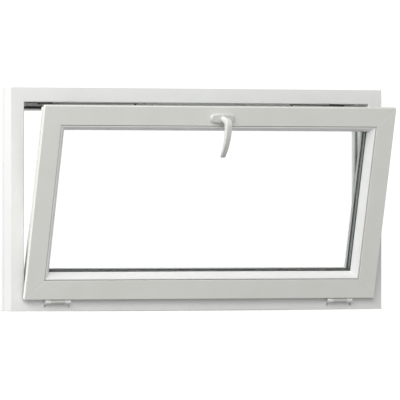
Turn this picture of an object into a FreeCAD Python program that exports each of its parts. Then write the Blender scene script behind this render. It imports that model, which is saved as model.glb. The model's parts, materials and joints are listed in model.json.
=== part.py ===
import FreeCAD, Part
import math
import os

import Sketcher

# Bottom-hung window: a fixed frame of four mitred hollow profiles and a glazed sash
# that leans into the room on two hinges, held by two folding stays and locked by a
# lever handle whose pinion drives a rod with two cams along the top rail.
#
# Row frame: +X to the right as seen from the room, -Y towards the room, +Z up.
# The origin is the middle of the frame's underside. In every piece's own frame, Y is
# measured from the frame's room-side face, positive towards the outside.

SIZES = [
    ("window_width", 1200, "fixed frame, overall width"),
    ("window_height", 650, "fixed frame, overall height"),
    ("frame_depth", 70, "fixed frame, room face to outside face"),
    ("frame_face", 43, "width of the frame's room-side face"),
    ("leg_height", 24, "outside leg, above the rebate floor"),
    ("leg_depth", 14, "outside leg, front to back"),
    ("wall", 3, "outer wall of every plastic profile"),
    ("web", 2, "inner wall between chambers"),
    ("edge_break", 2, "bevel on profile edges"),
    ("clip_groove_at", 49, "cladding groove, distance from the room face"),
    ("clip_groove_width", 3.5, "cladding groove, width"),
    ("clip_groove_depth", 4, "cladding groove, depth"),
    ("front_chamber", 11, "frame chamber behind the room face"),
    ("steel_chamber", 22, "frame chamber for the steel bar"),
    ("sash_inset", 35, "sash edge to frame edge, so the overlap is the rest of the face"),
    ("sash_depth", 70, "sash profile, room face to outside face"),
    ("sash_proud", 18, "sash face stands this far into the room when closed"),
    ("sash_face", 57, "width of the sash's room-side face"),
    ("lip_height", 20, "overlap lip, edge to sash body"),
    ("lip_depth", 14, "overlap lip, front to back"),
    ("bead_height", 20, "glazing bead above the glazing platform"),
    ("flange_depth", 15, "outside glazing flange, front to back"),
    ("bead_nose", 2, "bead front, set back from the sash face"),
    ("bead_step", 3, "upright step at the bead's front"),
    ("groove_at", 1, "hardware groove, distance from the frame's room face"),
    ("groove_width", 16, "hardware groove, seat of the faceplate"),
    ("groove_ledge", 2, "hardware groove, ledge each side of its channel"),
    ("channel_depth", 11, "hardware groove, depth of its channel"),
    ("sash_steel_at", 20, "sash steel chamber, distance from the frame's room face"),
    ("sash_steel_chamber", 13, "sash steel chamber, front to back"),
    ("steel_wall", 1.5, "steel bar, sheet thickness"),
    ("steel_gap", 0.3, "steel bar, clearance in its chamber"),
    ("steel_end_gap", 75, "steel bar, short of the profile's outer corner"),
    ("gasket_gap", 0.4, "gasket to the face it meets when closed"),
    ("gasket_width", 8, "frame gasket, width of its sealing band"),
    ("pane", 4, "glass pane, thickness"),
    ("pane_gap", 16, "space between the panes"),
    ("glazing_seal", 3, "glazing gasket, thickness"),
    ("seal_stand", 1.5, "glazing gasket, above the bead"),
    ("glass_edge_gap", 5, "glass edge to glazing platform"),
    ("spacer_height", 7, "spacer bar, in the plane of the glass"),
    ("edge_seal_height", 6, "sealant behind the spacer bar"),
    ("block_length", 100, "setting block, length"),
    ("block_at", 110, "setting block, centre from the glass corner"),
    ("axis_ahead", 11, "hinge axis, in front of the frame's face"),
    ("axis_height", 27, "hinge axis, above the frame's underside"),
    ("rest_tilt", 15, "sash angle at rest, leaning on its stays"),
    ("hinge_spread", 912, "hinge to hinge, centre to centre"),
    ("knuckle_radius", 6.5, "hinge knuckles"),
    ("hinge_pin_radius", 3, "hinge pin"),
    ("running_gap", 0.05, "radial clearance of a turning fit"),
    ("leaf_width", 45, "middle knuckle and leaf, along the axis"),
    ("ear_width", 16, "each outer knuckle, along the axis"),
    ("side_gap", 0.3, "clearance between pieces that pass each other"),
    ("leaf_plate", 2.5, "hinge leaf, plate thickness"),
    ("bracket_plate", 2.2, "frame-side fittings, plate thickness"),
    ("screw_radius", 2, "fitting screws, shank"),
    ("screw_head_radius", 3.6, "fitting screws, head"),
    ("screw_head", 1.2, "fitting screws, head thickness"),
    ("screw_length", 12, "fitting screws, whole length"),
    ("drill_gap", 0.03, "screw hole, larger than the shank by this"),
    ("stay_length", 280, "stay arm, pivot to guide pin"),
    ("stay_spread", 980, "stay pivot to stay pivot"),
    ("stay_pivot_at", 42, "stay pivot, behind the frame's room face"),
    ("stay_swing", 31.9, "stay arm, angle from folded to rest"),
    ("arm_width", 14, "stay arm, width"),
    ("arm_plate", 2.5, "stay arm, thickness"),
    ("stay_pin_radius", 3, "stay pivot and guide pin"),
    ("stay_pin_reach", 14.5, "guide pin, below the arm"),
    ("guide_slot", 12.6, "slot in the sash for the guide pin, width"),
    ("guide_plate", 2, "slotted plate on the sash, thickness"),
    ("spindle_size", 7, "square spindle, across flats"),
    ("pinion_radius", 8, "pinion, pitch radius"),
    ("pinion_teeth", 12, "pinion, number of teeth"),
    ("tooth_addendum", 1.1, "teeth, pitch line to tip"),
    ("tooth_dedendum", 1.5, "teeth, pitch line to root"),
    ("tooth_slope", 0.364, "rack teeth, half width lost per millimetre of height"),
    ("backlash", 0.15, "rack teeth, each gullet wider by this on both sides"),
    ("faceplate", 2, "faceplate, thickness"),
    ("faceplate_length", 460, "faceplate, length"),
    ("rod_plate", 4, "drive rod, thickness"),
    ("rod_width", 10, "drive rod, width"),
    ("cam_spread", 300, "locking cams, centre to centre"),
    ("cam_radius", 3.8, "locking cam, roller"),
    ("cam_neck_radius", 2.4, "locking cam, neck"),
    ("cam_reach", 8.5, "locking cam, above the faceplate"),
    ("claw_lift", 4.2, "striker claw, above the sash body's top"),
    ("gearbox_length", 90, "gearbox, along the rail"),
    ("gearbox_depth", 19.5, "gearbox, below the drive rod"),
    ("rosette_length", 76, "handle rosette, length"),
    ("rosette_height", 29, "handle rosette, height"),
    ("rosette_depth", 10, "handle rosette, off the sash face"),
    ("rosette_base", 3, "handle base plate, thickness"),
    ("handle_screw_spread", 43, "handle screws, centre to centre"),
    ("handle_screw_radius", 2.5, "handle screws, shank"),
    ("neck_radius", 9, "handle neck"),
    ("neck_reach", 56, "handle neck, off the sash face"),
    ("lever_width", 16, "handle lever, width"),
    ("lever_thickness", 12, "handle lever, thickness"),
    ("lever_drop", 108, "handle lever, below the spindle axis"),
    ("lever_tip_reach", 36, "handle lever tip, off the sash face"),
    ("lever_bow_radius", 155, "handle lever, radius of its outer curve"),
    ("fixing_radius", 3, "frame fixing hole"),
    ("fixing_spread", 400, "frame fixing holes, centre to centre"),
    ("fixing_at", 44.5, "frame fixing holes, behind the room face"),
    ("drain_spread", 600, "drain slots, centre to centre"),
    ("drain_length", 28, "drain slot, length"),
    ("drain_height", 5, "drain slot, height"),
    ("drain_cap", 3, "drain cap, off the outside face"),
]

DERIVED = [
    ("frame_half_depth", "sizes.frame_depth / 2"),
    ("leg_front", "sizes.frame_depth - sizes.leg_depth"),
    ("leg_top", "sizes.frame_face + sizes.leg_height"),
    ("sash_width", "sizes.window_width - 2 * sizes.sash_inset"),
    ("sash_height", "sizes.window_height - 2 * sizes.sash_inset"),
    ("sash_back", "sizes.sash_depth - sizes.sash_proud"),
    ("lip_back", "sizes.lip_depth - sizes.sash_proud"),
    ("daylight", "sizes.sash_face + sizes.bead_height"),
    ("flange_front", "sash_back - sizes.flange_depth"),
    ("glass_back", "flange_front - sizes.glazing_seal"),
    ("glass_front", "glass_back - 2 * sizes.pane - sizes.pane_gap"),
    ("bead_back", "glass_front - sizes.glazing_seal"),
    ("glass_edge", "sizes.sash_face + sizes.glass_edge_gap"),
    ("gasket_foot", "sizes.sash_inset + sizes.lip_height - 1"),
    ("channel_at", "sizes.groove_at + sizes.groove_ledge"),
    ("channel_width", "sizes.groove_width - 2 * sizes.groove_ledge"),
    ("groove_middle", "sizes.groove_at + sizes.groove_width / 2"),
    ("channel_floor", "sizes.lip_height + sizes.channel_depth"),
    ("rail_top", "-sizes.lip_height"),
    ("rod_top", "rail_top - sizes.faceplate - 0.2"),
    ("rod_bottom", "rod_top - sizes.rod_plate"),
    ("spindle_z", "rod_bottom + sizes.tooth_addendum + 0.1 - sizes.pinion_radius"),
    ("rod_travel", "sizes.pinion_radius * pi / 2"),
    ("head_floor", "sizes.sash_inset - sizes.frame_face"),
    ("arm_top", "head_floor - sizes.bracket_plate - sizes.side_gap"),
    ("ear_start", "sizes.leaf_width / 2 + sizes.side_gap"),
    ("ear_end", "ear_start + sizes.ear_width"),
]

doc = FreeCAD.newDocument("bottom_hung_window")
V = FreeCAD.Vector


# ---------------------------------------------------------------- sheets and helpers
def make_sheets():
    """The driving sizes, one plain number a row, and a second sheet of sizes worked out from them."""
    sizes = doc.addObject("Spreadsheet::Sheet", "sizes")
    for row, (alias, number, note) in enumerate(SIZES, 1):
        sizes.set(f"A{row}", alias)
        sizes.set(f"B{row}", str(number))
        sizes.set(f"C{row}", note)
        sizes.setAlias(f"B{row}", alias)
    doc.recompute()
    derived = doc.addObject("Spreadsheet::Sheet", "derived")
    for row, (alias, formula) in enumerate(DERIVED, 1):
        derived.set(f"A{row}", alias)
        derived.set(f"B{row}", "=" + formula)
        derived.setAlias(f"B{row}", alias)
        doc.recompute()
    return derived


derived_sheet = make_sheets()
NODES = []


def number(expression):
    """The value of an expression on the sheets, as a plain number."""
    value = derived_sheet.evalExpression(expression.replace("derived.", ""))
    return float(getattr(value, "Value", value))


def turn(axis, angle):
    return f"rotation(vector({axis}); {angle})"


def pose(x="0", y="0", z="0", rotation=turn("0; 1; 0", "0")):
    """Placement expression: a place in millimetres and a rotation."""
    return f"placement(vector({x}; {y}; {z}); {rotation})"


ROOM_FACE = "-derived.frame_half_depth"
FRAME = pose(y=ROOM_FACE)
TILTED = " * ".join(
    [
        pose(y=f"{ROOM_FACE} - sizes.axis_ahead", z="sizes.axis_height", rotation=turn("1; 0; 0", "sizes.rest_tilt")),
        pose(y="sizes.axis_ahead", z="-sizes.axis_height"),
    ]
)
SASH_TOP = f"{TILTED} * " + pose(z="sizes.window_height - sizes.sash_inset")
HEAD = pose(y=ROOM_FACE, z="sizes.window_height - sizes.sash_inset")
HANDLE = f"{SASH_TOP} * " + pose(y="-sizes.sash_proud", z="derived.spindle_z")


def keep(item, label, placement):
    """Make an object a sub-part: its label names its node, and its placement follows the sheets."""
    item.Label = label
    item.setExpression("Placement", placement)
    NODES.append(item)
    return item


def new_body(name):
    body = doc.addObject("PartDesign::Body", name)
    doc.recompute()
    return body


def new_sketch(body, plane, name):
    """An empty sketch on one of the body's own origin planes."""
    origin_plane = next(f for f in body.Origin.OriginFeatures if f.Role == plane)
    sketch = body.newObject("Sketcher::SketchObject", name)
    sketch.AttachmentSupport = [(origin_plane, "")]
    sketch.MapMode = "FlatFace"
    return sketch


def fix_point(sketch, edge, end, x, y):
    """Hold one end of an edge at (x, y), both given as expressions."""
    for kind, expression in (("DistanceX", x), ("DistanceY", y)):
        constraint = Sketcher.Constraint(kind, -1, 1, edge, end, number(expression))
        sketch.setExpression(f"Constraints[{sketch.addConstraint(constraint)}]", f"1 * ({expression})")


def draw_loop(sketch, points):
    """Close a loop through points (x, y) or (x, y, radius); a radius bows the edge that leaves the point.

    A positive radius bows to the right of the way the loop runs, a negative one to the left.
    """
    first = sketch.GeometryCount
    count = len(points)
    for index, point in enumerate(points):
        start = V(number(point[0]), number(point[1]), 0)
        following = points[(index + 1) % count]
        end = V(number(following[0]), number(following[1]), 0)
        if len(point) < 3:
            sketch.addGeometry(Part.LineSegment(start, end), False)
            continue
        radius = number(point[2])
        chord = end - start
        rise = abs(radius) - math.sqrt(radius**2 - (chord.Length / 2) ** 2)
        side = V(chord.y, -chord.x, 0).normalize() * math.copysign(rise, radius)
        sketch.addGeometry(Part.Arc(start, (start + end) / 2 + side, end), False)
    for index, point in enumerate(points):
        edge = first + index
        is_arc = len(point) > 2
        turned = is_arc and number(point[2]) < 0
        fix_point(sketch, edge, 2 if turned else 1, point[0], point[1])
        if is_arc:
            following = points[(index + 1) % count]
            radius = sketch.addConstraint(Sketcher.Constraint("Radius", edge, abs(number(point[2]))))
            sketch.setExpression(f"Constraints[{radius}]", f"abs({point[2]})")
            fix_point(sketch, edge, 1 if turned else 2, following[0], following[1])
        else:
            following_arc = points[(index + 1) % count]
            follower = first + (index + 1) % count
            end = 2 if len(following_arc) > 2 and number(following_arc[2]) < 0 else 1
            sketch.addConstraint(Sketcher.Constraint("Coincident", edge, 2, follower, end))


def rectangle(x0, y0, x1, y1):
    return [(x0, y0), (x1, y0), (x1, y1), (x0, y1)]


def stadium(length, height):
    """Loop of a slot shape centred on the origin, with half-round ends."""
    straight = f"({length} - {height}) / 2"
    half = f"({height}) / 2"
    end = f"({half}) * 1.00001"
    return [
        (f"-({straight})", f"-({half})"),
        (straight, f"-({half})", end),
        (straight, half),
        (f"-({straight})", half, end),
    ]


def pad(body, name, plane, loops, length, middle=False, reverse=False):
    """Pad loops drawn on an origin plane of the body."""
    sketch = new_sketch(body, plane, f"{name}_sketch")
    for loop in loops:
        draw_loop(sketch, loop)
    doc.recompute()
    feature = body.newObject("PartDesign::Pad", name)
    feature.Profile = sketch
    feature.setExpression("Length", length)
    feature.Midplane = middle
    feature.Reversed = reverse
    doc.recompute()
    return feature


def pocket_through(body, name, plane, loops):
    """Cut loops drawn on an origin plane right through the body, both ways."""
    before = body.Shape.Volume
    sketch = new_sketch(body, plane, f"{name}_sketch")
    for loop in loops:
        draw_loop(sketch, loop)
    doc.recompute()
    feature = body.newObject("PartDesign::Pocket", name)
    feature.Profile = sketch
    feature.Type = 1
    feature.Midplane = True
    doc.recompute()
    if not feature.Shape.Volume < before:
        raise RuntimeError(f"{name} cuts nothing")
    return feature


def add_primitive(body, kind, name, sizes, x, y, z, rotation):
    feature = body.newObject(f"PartDesign::{kind}", name)
    for key, expression in sizes.items():
        feature.setExpression(key, f"1 * ({expression})")
    feature.setExpression("Placement", pose(x, y, z, rotation))
    doc.recompute()
    return feature


def box_feature(body, name, low, high, cut=True):
    """Cut or add a box between two corners, each three expressions."""
    before = body.Shape.Volume if cut else 0
    spans = [f"({b}) - ({a})" for a, b in zip(low, high)]
    sizes = dict(zip(("Length", "Width", "Height"), spans))
    kind = "SubtractiveBox" if cut else "AdditiveBox"
    feature = add_primitive(body, kind, name, sizes, *low, turn("0; 1; 0", "0"))
    if cut and not feature.Shape.Volume < before:
        raise RuntimeError(f"{name} cuts nothing")
    return feature


ALONG_X = turn("0; 1; 0", "90")
ALONG_Y = turn("1; 0; 0", "-90")
ALONG_Z = turn("0; 1; 0", "0")


def drill(body, name, start, direction, radius, length, cut=True):
    """Cut or add a round bar from a start point along +X, +Y or +Z."""
    before = body.Shape.Volume if cut else 0
    kind = "SubtractiveCylinder" if cut else "AdditiveCylinder"
    feature = add_primitive(body, kind, name, {"Radius": radius, "Height": length}, *start, direction)
    if cut and not feature.Shape.Volume < before:
        raise RuntimeError(f"{name} cuts nothing")
    return feature


def plain_box(name, low, high):
    """A Part box between two corners, each three expressions."""
    item = doc.addObject("Part::Box", name)
    for key, a, b in zip(("Length", "Width", "Height"), low, high):
        item.setExpression(key, f"({b}) - ({a})")
    item.setExpression("Placement", pose(*low))
    return item


def plain_bar(name, start, direction, radius, length):
    """A Part cylinder from a start point along +X, +Y or +Z."""
    item = doc.addObject("Part::Cylinder", name)
    item.setExpression("Radius", f"1 * ({radius})")
    item.setExpression("Height", f"1 * ({length})")
    item.setExpression("Placement", pose(*start, direction))
    return item


def group(name, items):
    """Separate solids that share one node."""
    item = doc.addObject("Part::Compound", name)
    item.Links = items
    return item


def joined(name, items):
    item = doc.addObject("Part::MultiFuse", name)
    item.Shapes = items
    return item


SIDES = {
    "bottom": ("0", "0", turn("0; 1; 0", "0")),
    "top": ("0", "sizes.window_height", turn("0; 1; 0", "180")),
    "left": ("-sizes.window_width / 2", "sizes.window_height / 2", turn("0; 1; 0", "90")),
    "right": ("sizes.window_width / 2", "sizes.window_height / 2", turn("0; 1; 0", "-90")),
}


def side_pose(side, inset):
    """Places a bar drawn with its outer edge at z = 0: on that side of the window, moved in by inset."""
    x, z, rotation = SIDES[side]
    x = {"left": f"{x} + {inset}", "right": f"{x} - {inset}"}.get(side, x)
    z = {"bottom": f"{z} + {inset}", "top": f"{z} - {inset}"}.get(side, z)
    return pose(x, "0", z, rotation)


def mitred_bar(name, loops, length, reach):
    """A bar whose section lies in Y (depth) and Z (inwards), cut at 45 degrees at both ends."""
    body = new_body(name)
    pad(body, f"{name}_pad", "YZ_Plane", loops, length, middle=True)
    half = f"({length}) / 2"
    ends = []
    for sign in ("-", ""):
        outer = f"{sign}({half} + 1)"
        inner = f"{sign}({half} - {reach} - 1)"
        ends.append([(outer, "-1"), (inner, f"{reach} + 1"), (outer, f"{reach} + 1")])
    pocket_through(body, f"{name}_mitres", "XZ_Plane", ends)
    return body


# ---------------------------------------------------------------- fixed frame
def frame_section():
    """L-shaped section with three chambers in its body and one in its outside leg."""
    depth, face = "sizes.frame_depth", "sizes.frame_face"
    wall, web = "sizes.wall", "sizes.web"
    bevel = "sizes.edge_break"
    groove = "sizes.clip_groove_at"
    groove_end = "sizes.clip_groove_at + sizes.clip_groove_width"
    outline = [
        ("0", "0"),
        (groove, "0"),
        (groove, "sizes.clip_groove_depth"),
        (groove_end, "sizes.clip_groove_depth"),
        (groove_end, "0"),
        (depth, "0"),
        (depth, f"derived.leg_top - {bevel}"),
        (f"{depth} - {bevel}", "derived.leg_top"),
        ("derived.leg_front", "derived.leg_top"),
        ("derived.leg_front", face),
        (bevel, face),
        ("0", f"{face} - {bevel}"),
    ]
    top = f"{face} - {wall}"
    steel_front = f"{wall} + sizes.front_chamber + {web}"
    steel_back = f"{steel_front} + sizes.steel_chamber"
    chambers = [
        rectangle(wall, wall, f"{wall} + sizes.front_chamber", top),
        rectangle(steel_front, wall, steel_back, top),
        rectangle(f"{steel_back} + {web}", f"sizes.clip_groove_depth + {wall}", f"{depth} - {wall}", top),
        rectangle(f"derived.leg_front + {wall}", face, f"{depth} - {wall}", f"derived.leg_top - {wall}"),
    ]
    return [outline] + chambers


def steel_bar(name, front, width, low, height, length):
    """Rectangular steel tube in its chamber, clear of the chamber by the steel gap and short of the corners."""
    gap, sheet = "sizes.steel_gap", "sizes.steel_wall"
    body = new_body(name)
    outer = (f"{front} + {gap}", f"{low} + {gap}", f"{front} + {width} - {gap}", f"{low} + {height} - {gap}")
    inner = tuple(f"{edge} {sign} {sheet}" for edge, sign in zip(outer, "++--"))
    loops = [rectangle(*outer), rectangle(*inner)]
    pad(body, f"{name}_pad", "YZ_Plane", loops, f"{length} - 2 * sizes.steel_end_gap", middle=True)
    return body


def screw_hole(body, name, start, direction):
    """Hole for a fitting screw, through the wall that the fitting sits on."""
    radius = "sizes.screw_radius + sizes.drill_gap"
    return drill(body, name, start, direction, radius, "sizes.screw_length + 2")


def bar_length(side, width, height):
    return width if side in ("top", "bottom") else height


def striker_places():
    return [("left", "-sizes.cam_spread / 2"), ("right", "sizes.cam_spread / 2")]


def stay_places():
    return [("left", "-1"), ("right", "1")]


STRIKER_SCREW_X = "14"
STRIKER_SCREW_Y = "derived.groove_middle + 2.5"
STAY_SCREW_X = "28"
STAY_SCREW_Y = "sizes.stay_pivot_at + 6"
HINGE_SCREW_X = "derived.ear_end - 1"
HINGE_SCREW_Z = "sizes.axis_height - 12"


def make_frame():
    names = {"top": "frame_head", "bottom": "frame_sill", "left": "frame_jamb_left", "right": "frame_jamb_right"}
    steel = []
    for side, label in names.items():
        length = bar_length(side, "sizes.window_width", "sizes.window_height")
        body = mitred_bar(label, frame_section(), length, "derived.leg_top")
        below = "sizes.frame_face - sizes.screw_length"
        if side == "top":
            for index, (_, x) in enumerate(striker_places()):
                for step in ("-", ""):
                    start = (f"{x} + {step}{STRIKER_SCREW_X}", STRIKER_SCREW_Y, below)
                    screw_hole(body, f"striker_hole_{index}{len(step)}", start, ALONG_Z)
            for index, (_, sign) in enumerate(stay_places()):
                for step in ("-", ""):
                    start = (f"{sign} * sizes.stay_spread / 2 + {step}{STAY_SCREW_X}", STAY_SCREW_Y, below)
                    screw_hole(body, f"stay_hole_{index}{len(step)}", start, ALONG_Z)
        if side == "bottom":
            for index, sign in enumerate(("-", "")):
                for step in ("-", "+"):
                    start = (f"{sign}sizes.hinge_spread / 2 {step} ({HINGE_SCREW_X})", "-2", HINGE_SCREW_Z)
                    screw_hole(body, f"hinge_hole_{index}{ord(step)}", start, ALONG_Y)
                middle = f"{sign}sizes.drain_spread / 2"
                low = (f"{middle} - sizes.drain_length / 2", "sizes.frame_depth - sizes.wall - 1", "20")
                high = (f"{middle} + sizes.drain_length / 2", "sizes.frame_depth + 1", "20 + sizes.drain_height")
                box_feature(body, f"drain_out_{index}", low, high)
                low = (low[0], "derived.leg_front - 1 - sizes.drain_height", "sizes.frame_face - sizes.wall - 1")
                high = (high[0], "derived.leg_front - 1", "sizes.frame_face + 1")
                box_feature(body, f"drain_in_{index}", low, high)
        if side in ("left", "right"):
            for index, sign in enumerate(("-", "")):
                start = (f"{sign}sizes.fixing_spread / 2", "sizes.fixing_at", "-1")
                drill(body, f"{side}_fixing_{index}", start, ALONG_Z, "sizes.fixing_radius", "sizes.frame_face + 2")
        keep(body, label, f"{FRAME} * {side_pose(side, '0')}")
        front = "sizes.wall + sizes.front_chamber + sizes.web"
        height = "sizes.frame_face - 2 * sizes.wall"
        bar = steel_bar(f"frame_steel_{side}", front, "sizes.steel_chamber", "sizes.wall", height, length)
        bar.setExpression("Placement", side_pose(side, "0"))
        steel.append(bar)
    keep(group("frame_steel", steel), "frame_steel_bars", FRAME)


def ring(name, inset, band, depth):
    """Closed ring in the plane of the window: outer edge moved in by inset, band wide, depth front to back."""
    body = new_body(name)
    half_width, height = "sizes.window_width / 2", "sizes.window_height"
    loops = []
    for step in (inset, f"{inset} + {band}"):
        loops.append(rectangle(f"-({half_width} - ({step}))", step, f"{half_width} - ({step})", f"{height} - ({step})"))
    pad(body, f"{name}_pad", "XZ_Plane", loops, depth, reverse=True)
    return body


def screw(name, start, direction, length="sizes.screw_length"):
    """Countersunk fitting screw as a head on a shank, pointing from start along the direction."""
    head = plain_bar(f"{name}_head", start, direction, "sizes.screw_head_radius", "sizes.screw_head")
    shank = plain_bar(f"{name}_shank", start, direction, "sizes.screw_radius", length)
    return joined(name, [head, shank])


def sink_head(body, name, start, direction):
    """Seat of a screw head in a fitting, with the hole for its shank."""
    drill(body, f"{name}_seat", start, direction, "sizes.screw_head_radius + sizes.drill_gap", "sizes.screw_head")
    radius = "sizes.screw_radius + sizes.drill_gap"
    drill(body, f"{name}_hole", start, direction, radius, "sizes.screw_length")


def make_frame_gasket():
    front = "derived.sash_back + sizes.gasket_gap"
    body = ring("frame_gasket", "derived.gasket_foot", "sizes.gasket_width", f"derived.leg_front - ({front})")
    keep(body, "frame_gasket", f"{FRAME} * {pose(y=front)}")


def make_strikers():
    """Striker under the frame head: a plate with a claw on the room side of the locked cam."""
    screws = []
    floor = "derived.head_floor"
    under = f"{floor} - sizes.bracket_plate"
    for side, x in striker_places():
        body = new_body(f"striker_{side}")
        plate = (("-20", "sizes.edge_break + 0.2", under), ("20", "derived.groove_middle + 12", floor))
        box_feature(body, f"striker_{side}_plate", *plate, cut=False)
        claw_back = "derived.groove_middle - sizes.cam_radius - 0.6"
        claw = (("-5", "sizes.edge_break + 0.2", "derived.rail_top + sizes.claw_lift"), ("5", claw_back, floor))
        box_feature(body, f"striker_{side}_claw", *claw, cut=False)
        for step in ("-", ""):
            seat = (f"{step}{STRIKER_SCREW_X}", STRIKER_SCREW_Y, under)
            sink_head(body, f"striker_{side}_screw{len(step)}", seat, ALONG_Z)
            start = (f"{x} + {step}{STRIKER_SCREW_X}", STRIKER_SCREW_Y, under)
            screws.append(screw(f"striker_screw_{side}{len(step)}", start, ALONG_Z))
        keep(body, f"striker_{side}", f"{HEAD} * {pose(x=x)}")
    keep(group("striker_screw_set", screws), "striker_screws", HEAD)


def make_drain_caps():
    caps = []
    for index, sign in enumerate(("-", "")):
        middle = f"{sign}sizes.drain_spread / 2"
        low = (f"{middle} - sizes.drain_length / 2 - 6", "sizes.frame_depth", "15")
        high = (f"{middle} + sizes.drain_length / 2 + 6", "sizes.frame_depth + sizes.drain_cap", "20 + sizes.drain_height + 4")
        shell = plain_box(f"drain_cap_{index}", low, high)
        hollow_low = (f"{middle} - sizes.drain_length / 2 - 4", "sizes.frame_depth - 1", "14")
        hollow_high = (f"{middle} + sizes.drain_length / 2 + 4", "sizes.frame_depth + sizes.drain_cap - 1", "20 + sizes.drain_height + 2")
        cut = doc.addObject("Part::Cut", f"drain_cap_hollow_{index}")
        cut.Base = shell
        cut.Tool = plain_box(f"drain_cap_room_{index}", hollow_low, hollow_high)
        caps.append(cut)
    keep(group("drain_cap_set", caps), "drain_caps", FRAME)


# ---------------------------------------------------------------- hinges
def make_hinges():
    """Each hinge: a frame bracket with two outer knuckles, a sash leaf with the middle one, and a pin."""
    axis_y, axis_z = "-sizes.axis_ahead", "sizes.axis_height"
    radius = "sizes.knuckle_radius"
    bracket_screws, leaf_screws, caps = [], [], []
    for side, sign in (("left", "-"), ("right", "")):
        place = pose(x=f"{sign}sizes.hinge_spread / 2")
        bracket = new_body(f"hinge_bracket_{side}")
        strip_low = ("-derived.ear_end", "-sizes.bracket_plate", f"{axis_z} - 10")
        strip_high = ("derived.ear_end", "0", f"{axis_z} - 4.5")
        box_feature(bracket, f"strip_{side}", strip_low, strip_high, cut=False)
        for index, way in enumerate(("-", "")):
            start = "-derived.ear_end" if way else "derived.ear_start"
            end = "-derived.ear_start" if way else "derived.ear_end"
            name = f"{side}_{index}"
            drill(bracket, f"ear_{name}", (start, axis_y, axis_z), ALONG_X, radius, "sizes.ear_width", cut=False)
            web = ((start, f"{axis_y} + 2", f"{axis_z} - 8"), (end, "0", f"{axis_z} + 4"))
            box_feature(bracket, f"ear_web_{name}", *web, cut=False)
            foot_in, foot_out = f"{way}({HINGE_SCREW_X} - 6)", f"{way}({HINGE_SCREW_X} + 6)"
            foot_x = (foot_out, foot_in) if way else (foot_in, foot_out)
            foot = ((foot_x[0], "-sizes.bracket_plate", f"{HINGE_SCREW_Z} - 5"), (foot_x[1], "0", f"{axis_z} - 5"))
            box_feature(bracket, f"foot_{name}", *foot, cut=False)
            seat = (f"{way}({HINGE_SCREW_X})", "-sizes.bracket_plate", HINGE_SCREW_Z)
            sink_head(bracket, f"bracket_screw_{name}", seat, ALONG_Y)
            start_screw = (f"{sign}sizes.hinge_spread / 2 + {way}({HINGE_SCREW_X})", seat[1], seat[2])
            bracket_screws.append(screw(f"bracket_screw_{name}_bar", start_screw, ALONG_Y))
            cap_start = f"{sign}sizes.hinge_spread / 2 + " + ("-derived.ear_end - 2" if way else "derived.ear_end")
            caps.append(plain_bar(f"hinge_cap_{name}", (cap_start, axis_y, axis_z), ALONG_X, f"{radius} - 0.3", "2"))
        bore = "sizes.hinge_pin_radius + 0.02"
        drill(bracket, f"bracket_bore_{side}", ("-derived.ear_end - 1", axis_y, axis_z), ALONG_X, bore,
              "2 * derived.ear_end + 2")
        keep(bracket, f"hinge_frame_bracket_{side}", f"{FRAME} * {place}")

        leaf = new_body(f"hinge_leaf_{side}")
        half = "sizes.leaf_width / 2"
        drill(leaf, f"knuckle_{side}", (f"-{half}", axis_y, axis_z), ALONG_X, radius, "sizes.leaf_width", cut=False)
        plate_y = "derived.lip_back"
        neck = ((f"-{half}", f"{plate_y} - 5", f"{axis_z} - 2"), (half, f"{plate_y} + sizes.leaf_plate", f"{axis_z} + 2"))
        box_feature(leaf, f"leaf_neck_{side}", *neck, cut=False)
        top = "sizes.sash_inset + sizes.lip_height - 2"
        plate = ((f"-{half}", plate_y, f"{axis_z} - 2"), (half, f"{plate_y} + sizes.leaf_plate", top))
        box_feature(leaf, f"leaf_plate_{side}", *plate, cut=False)
        drill(leaf, f"leaf_bore_{side}", (f"-{half} - 1", axis_y, axis_z), ALONG_X,
              "sizes.hinge_pin_radius + sizes.running_gap", "sizes.leaf_width + 2")
        screw_z = "sizes.sash_inset + sizes.lip_height / 2"
        for index, x in enumerate(("-15", "15")):
            name = f"{side}_{index}"
            back = f"{plate_y} + sizes.leaf_plate"
            seat = (x, f"{back} - sizes.screw_head", screw_z)
            head_seat = "sizes.screw_head_radius + sizes.drill_gap"
            drill(leaf, f"leaf_seat_{name}", seat, ALONG_Y, head_seat, "sizes.screw_head + 1")
            hole = (x, f"{plate_y} - 1", screw_z)
            drill(leaf, f"leaf_hole_{name}", hole, ALONG_Y, "sizes.screw_radius + sizes.drill_gap", "sizes.leaf_plate + 1")
            x_at = f"{sign}sizes.hinge_spread / 2 + {x}"
            head = plain_bar(f"leaf_screw_head_{name}", (x_at, seat[1], screw_z), ALONG_Y, "sizes.screw_head_radius",
                             "sizes.screw_head")
            shank_start = f"{back} - sizes.screw_length * 0.7"
            shank = plain_bar(f"leaf_screw_shank_{name}", (x_at, shank_start, screw_z), ALONG_Y, "sizes.screw_radius",
                              "sizes.screw_length * 0.7")
            leaf_screws.append(joined(f"leaf_screw_{name}", [head, shank]))
        keep(leaf, f"hinge_sash_leaf_{side}", f"{TILTED} * {place}")

        pin_body = new_body(f"hinge_pin_{side}_body")
        drill(pin_body, f"pin_bar_{side}", ("-derived.ear_end", axis_y, axis_z), ALONG_X,
              "sizes.hinge_pin_radius", "2 * derived.ear_end", cut=False)
        keep(pin_body, f"hinge_pin_{side}", f"{FRAME} * {place}")
    keep(group("bracket_screw_set", bracket_screws), "hinge_bracket_screws", FRAME)
    keep(group("leaf_screw_set", leaf_screws), "hinge_leaf_screws", TILTED)
    keep(group("hinge_cap_set", caps), "hinge_caps", FRAME)



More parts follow.
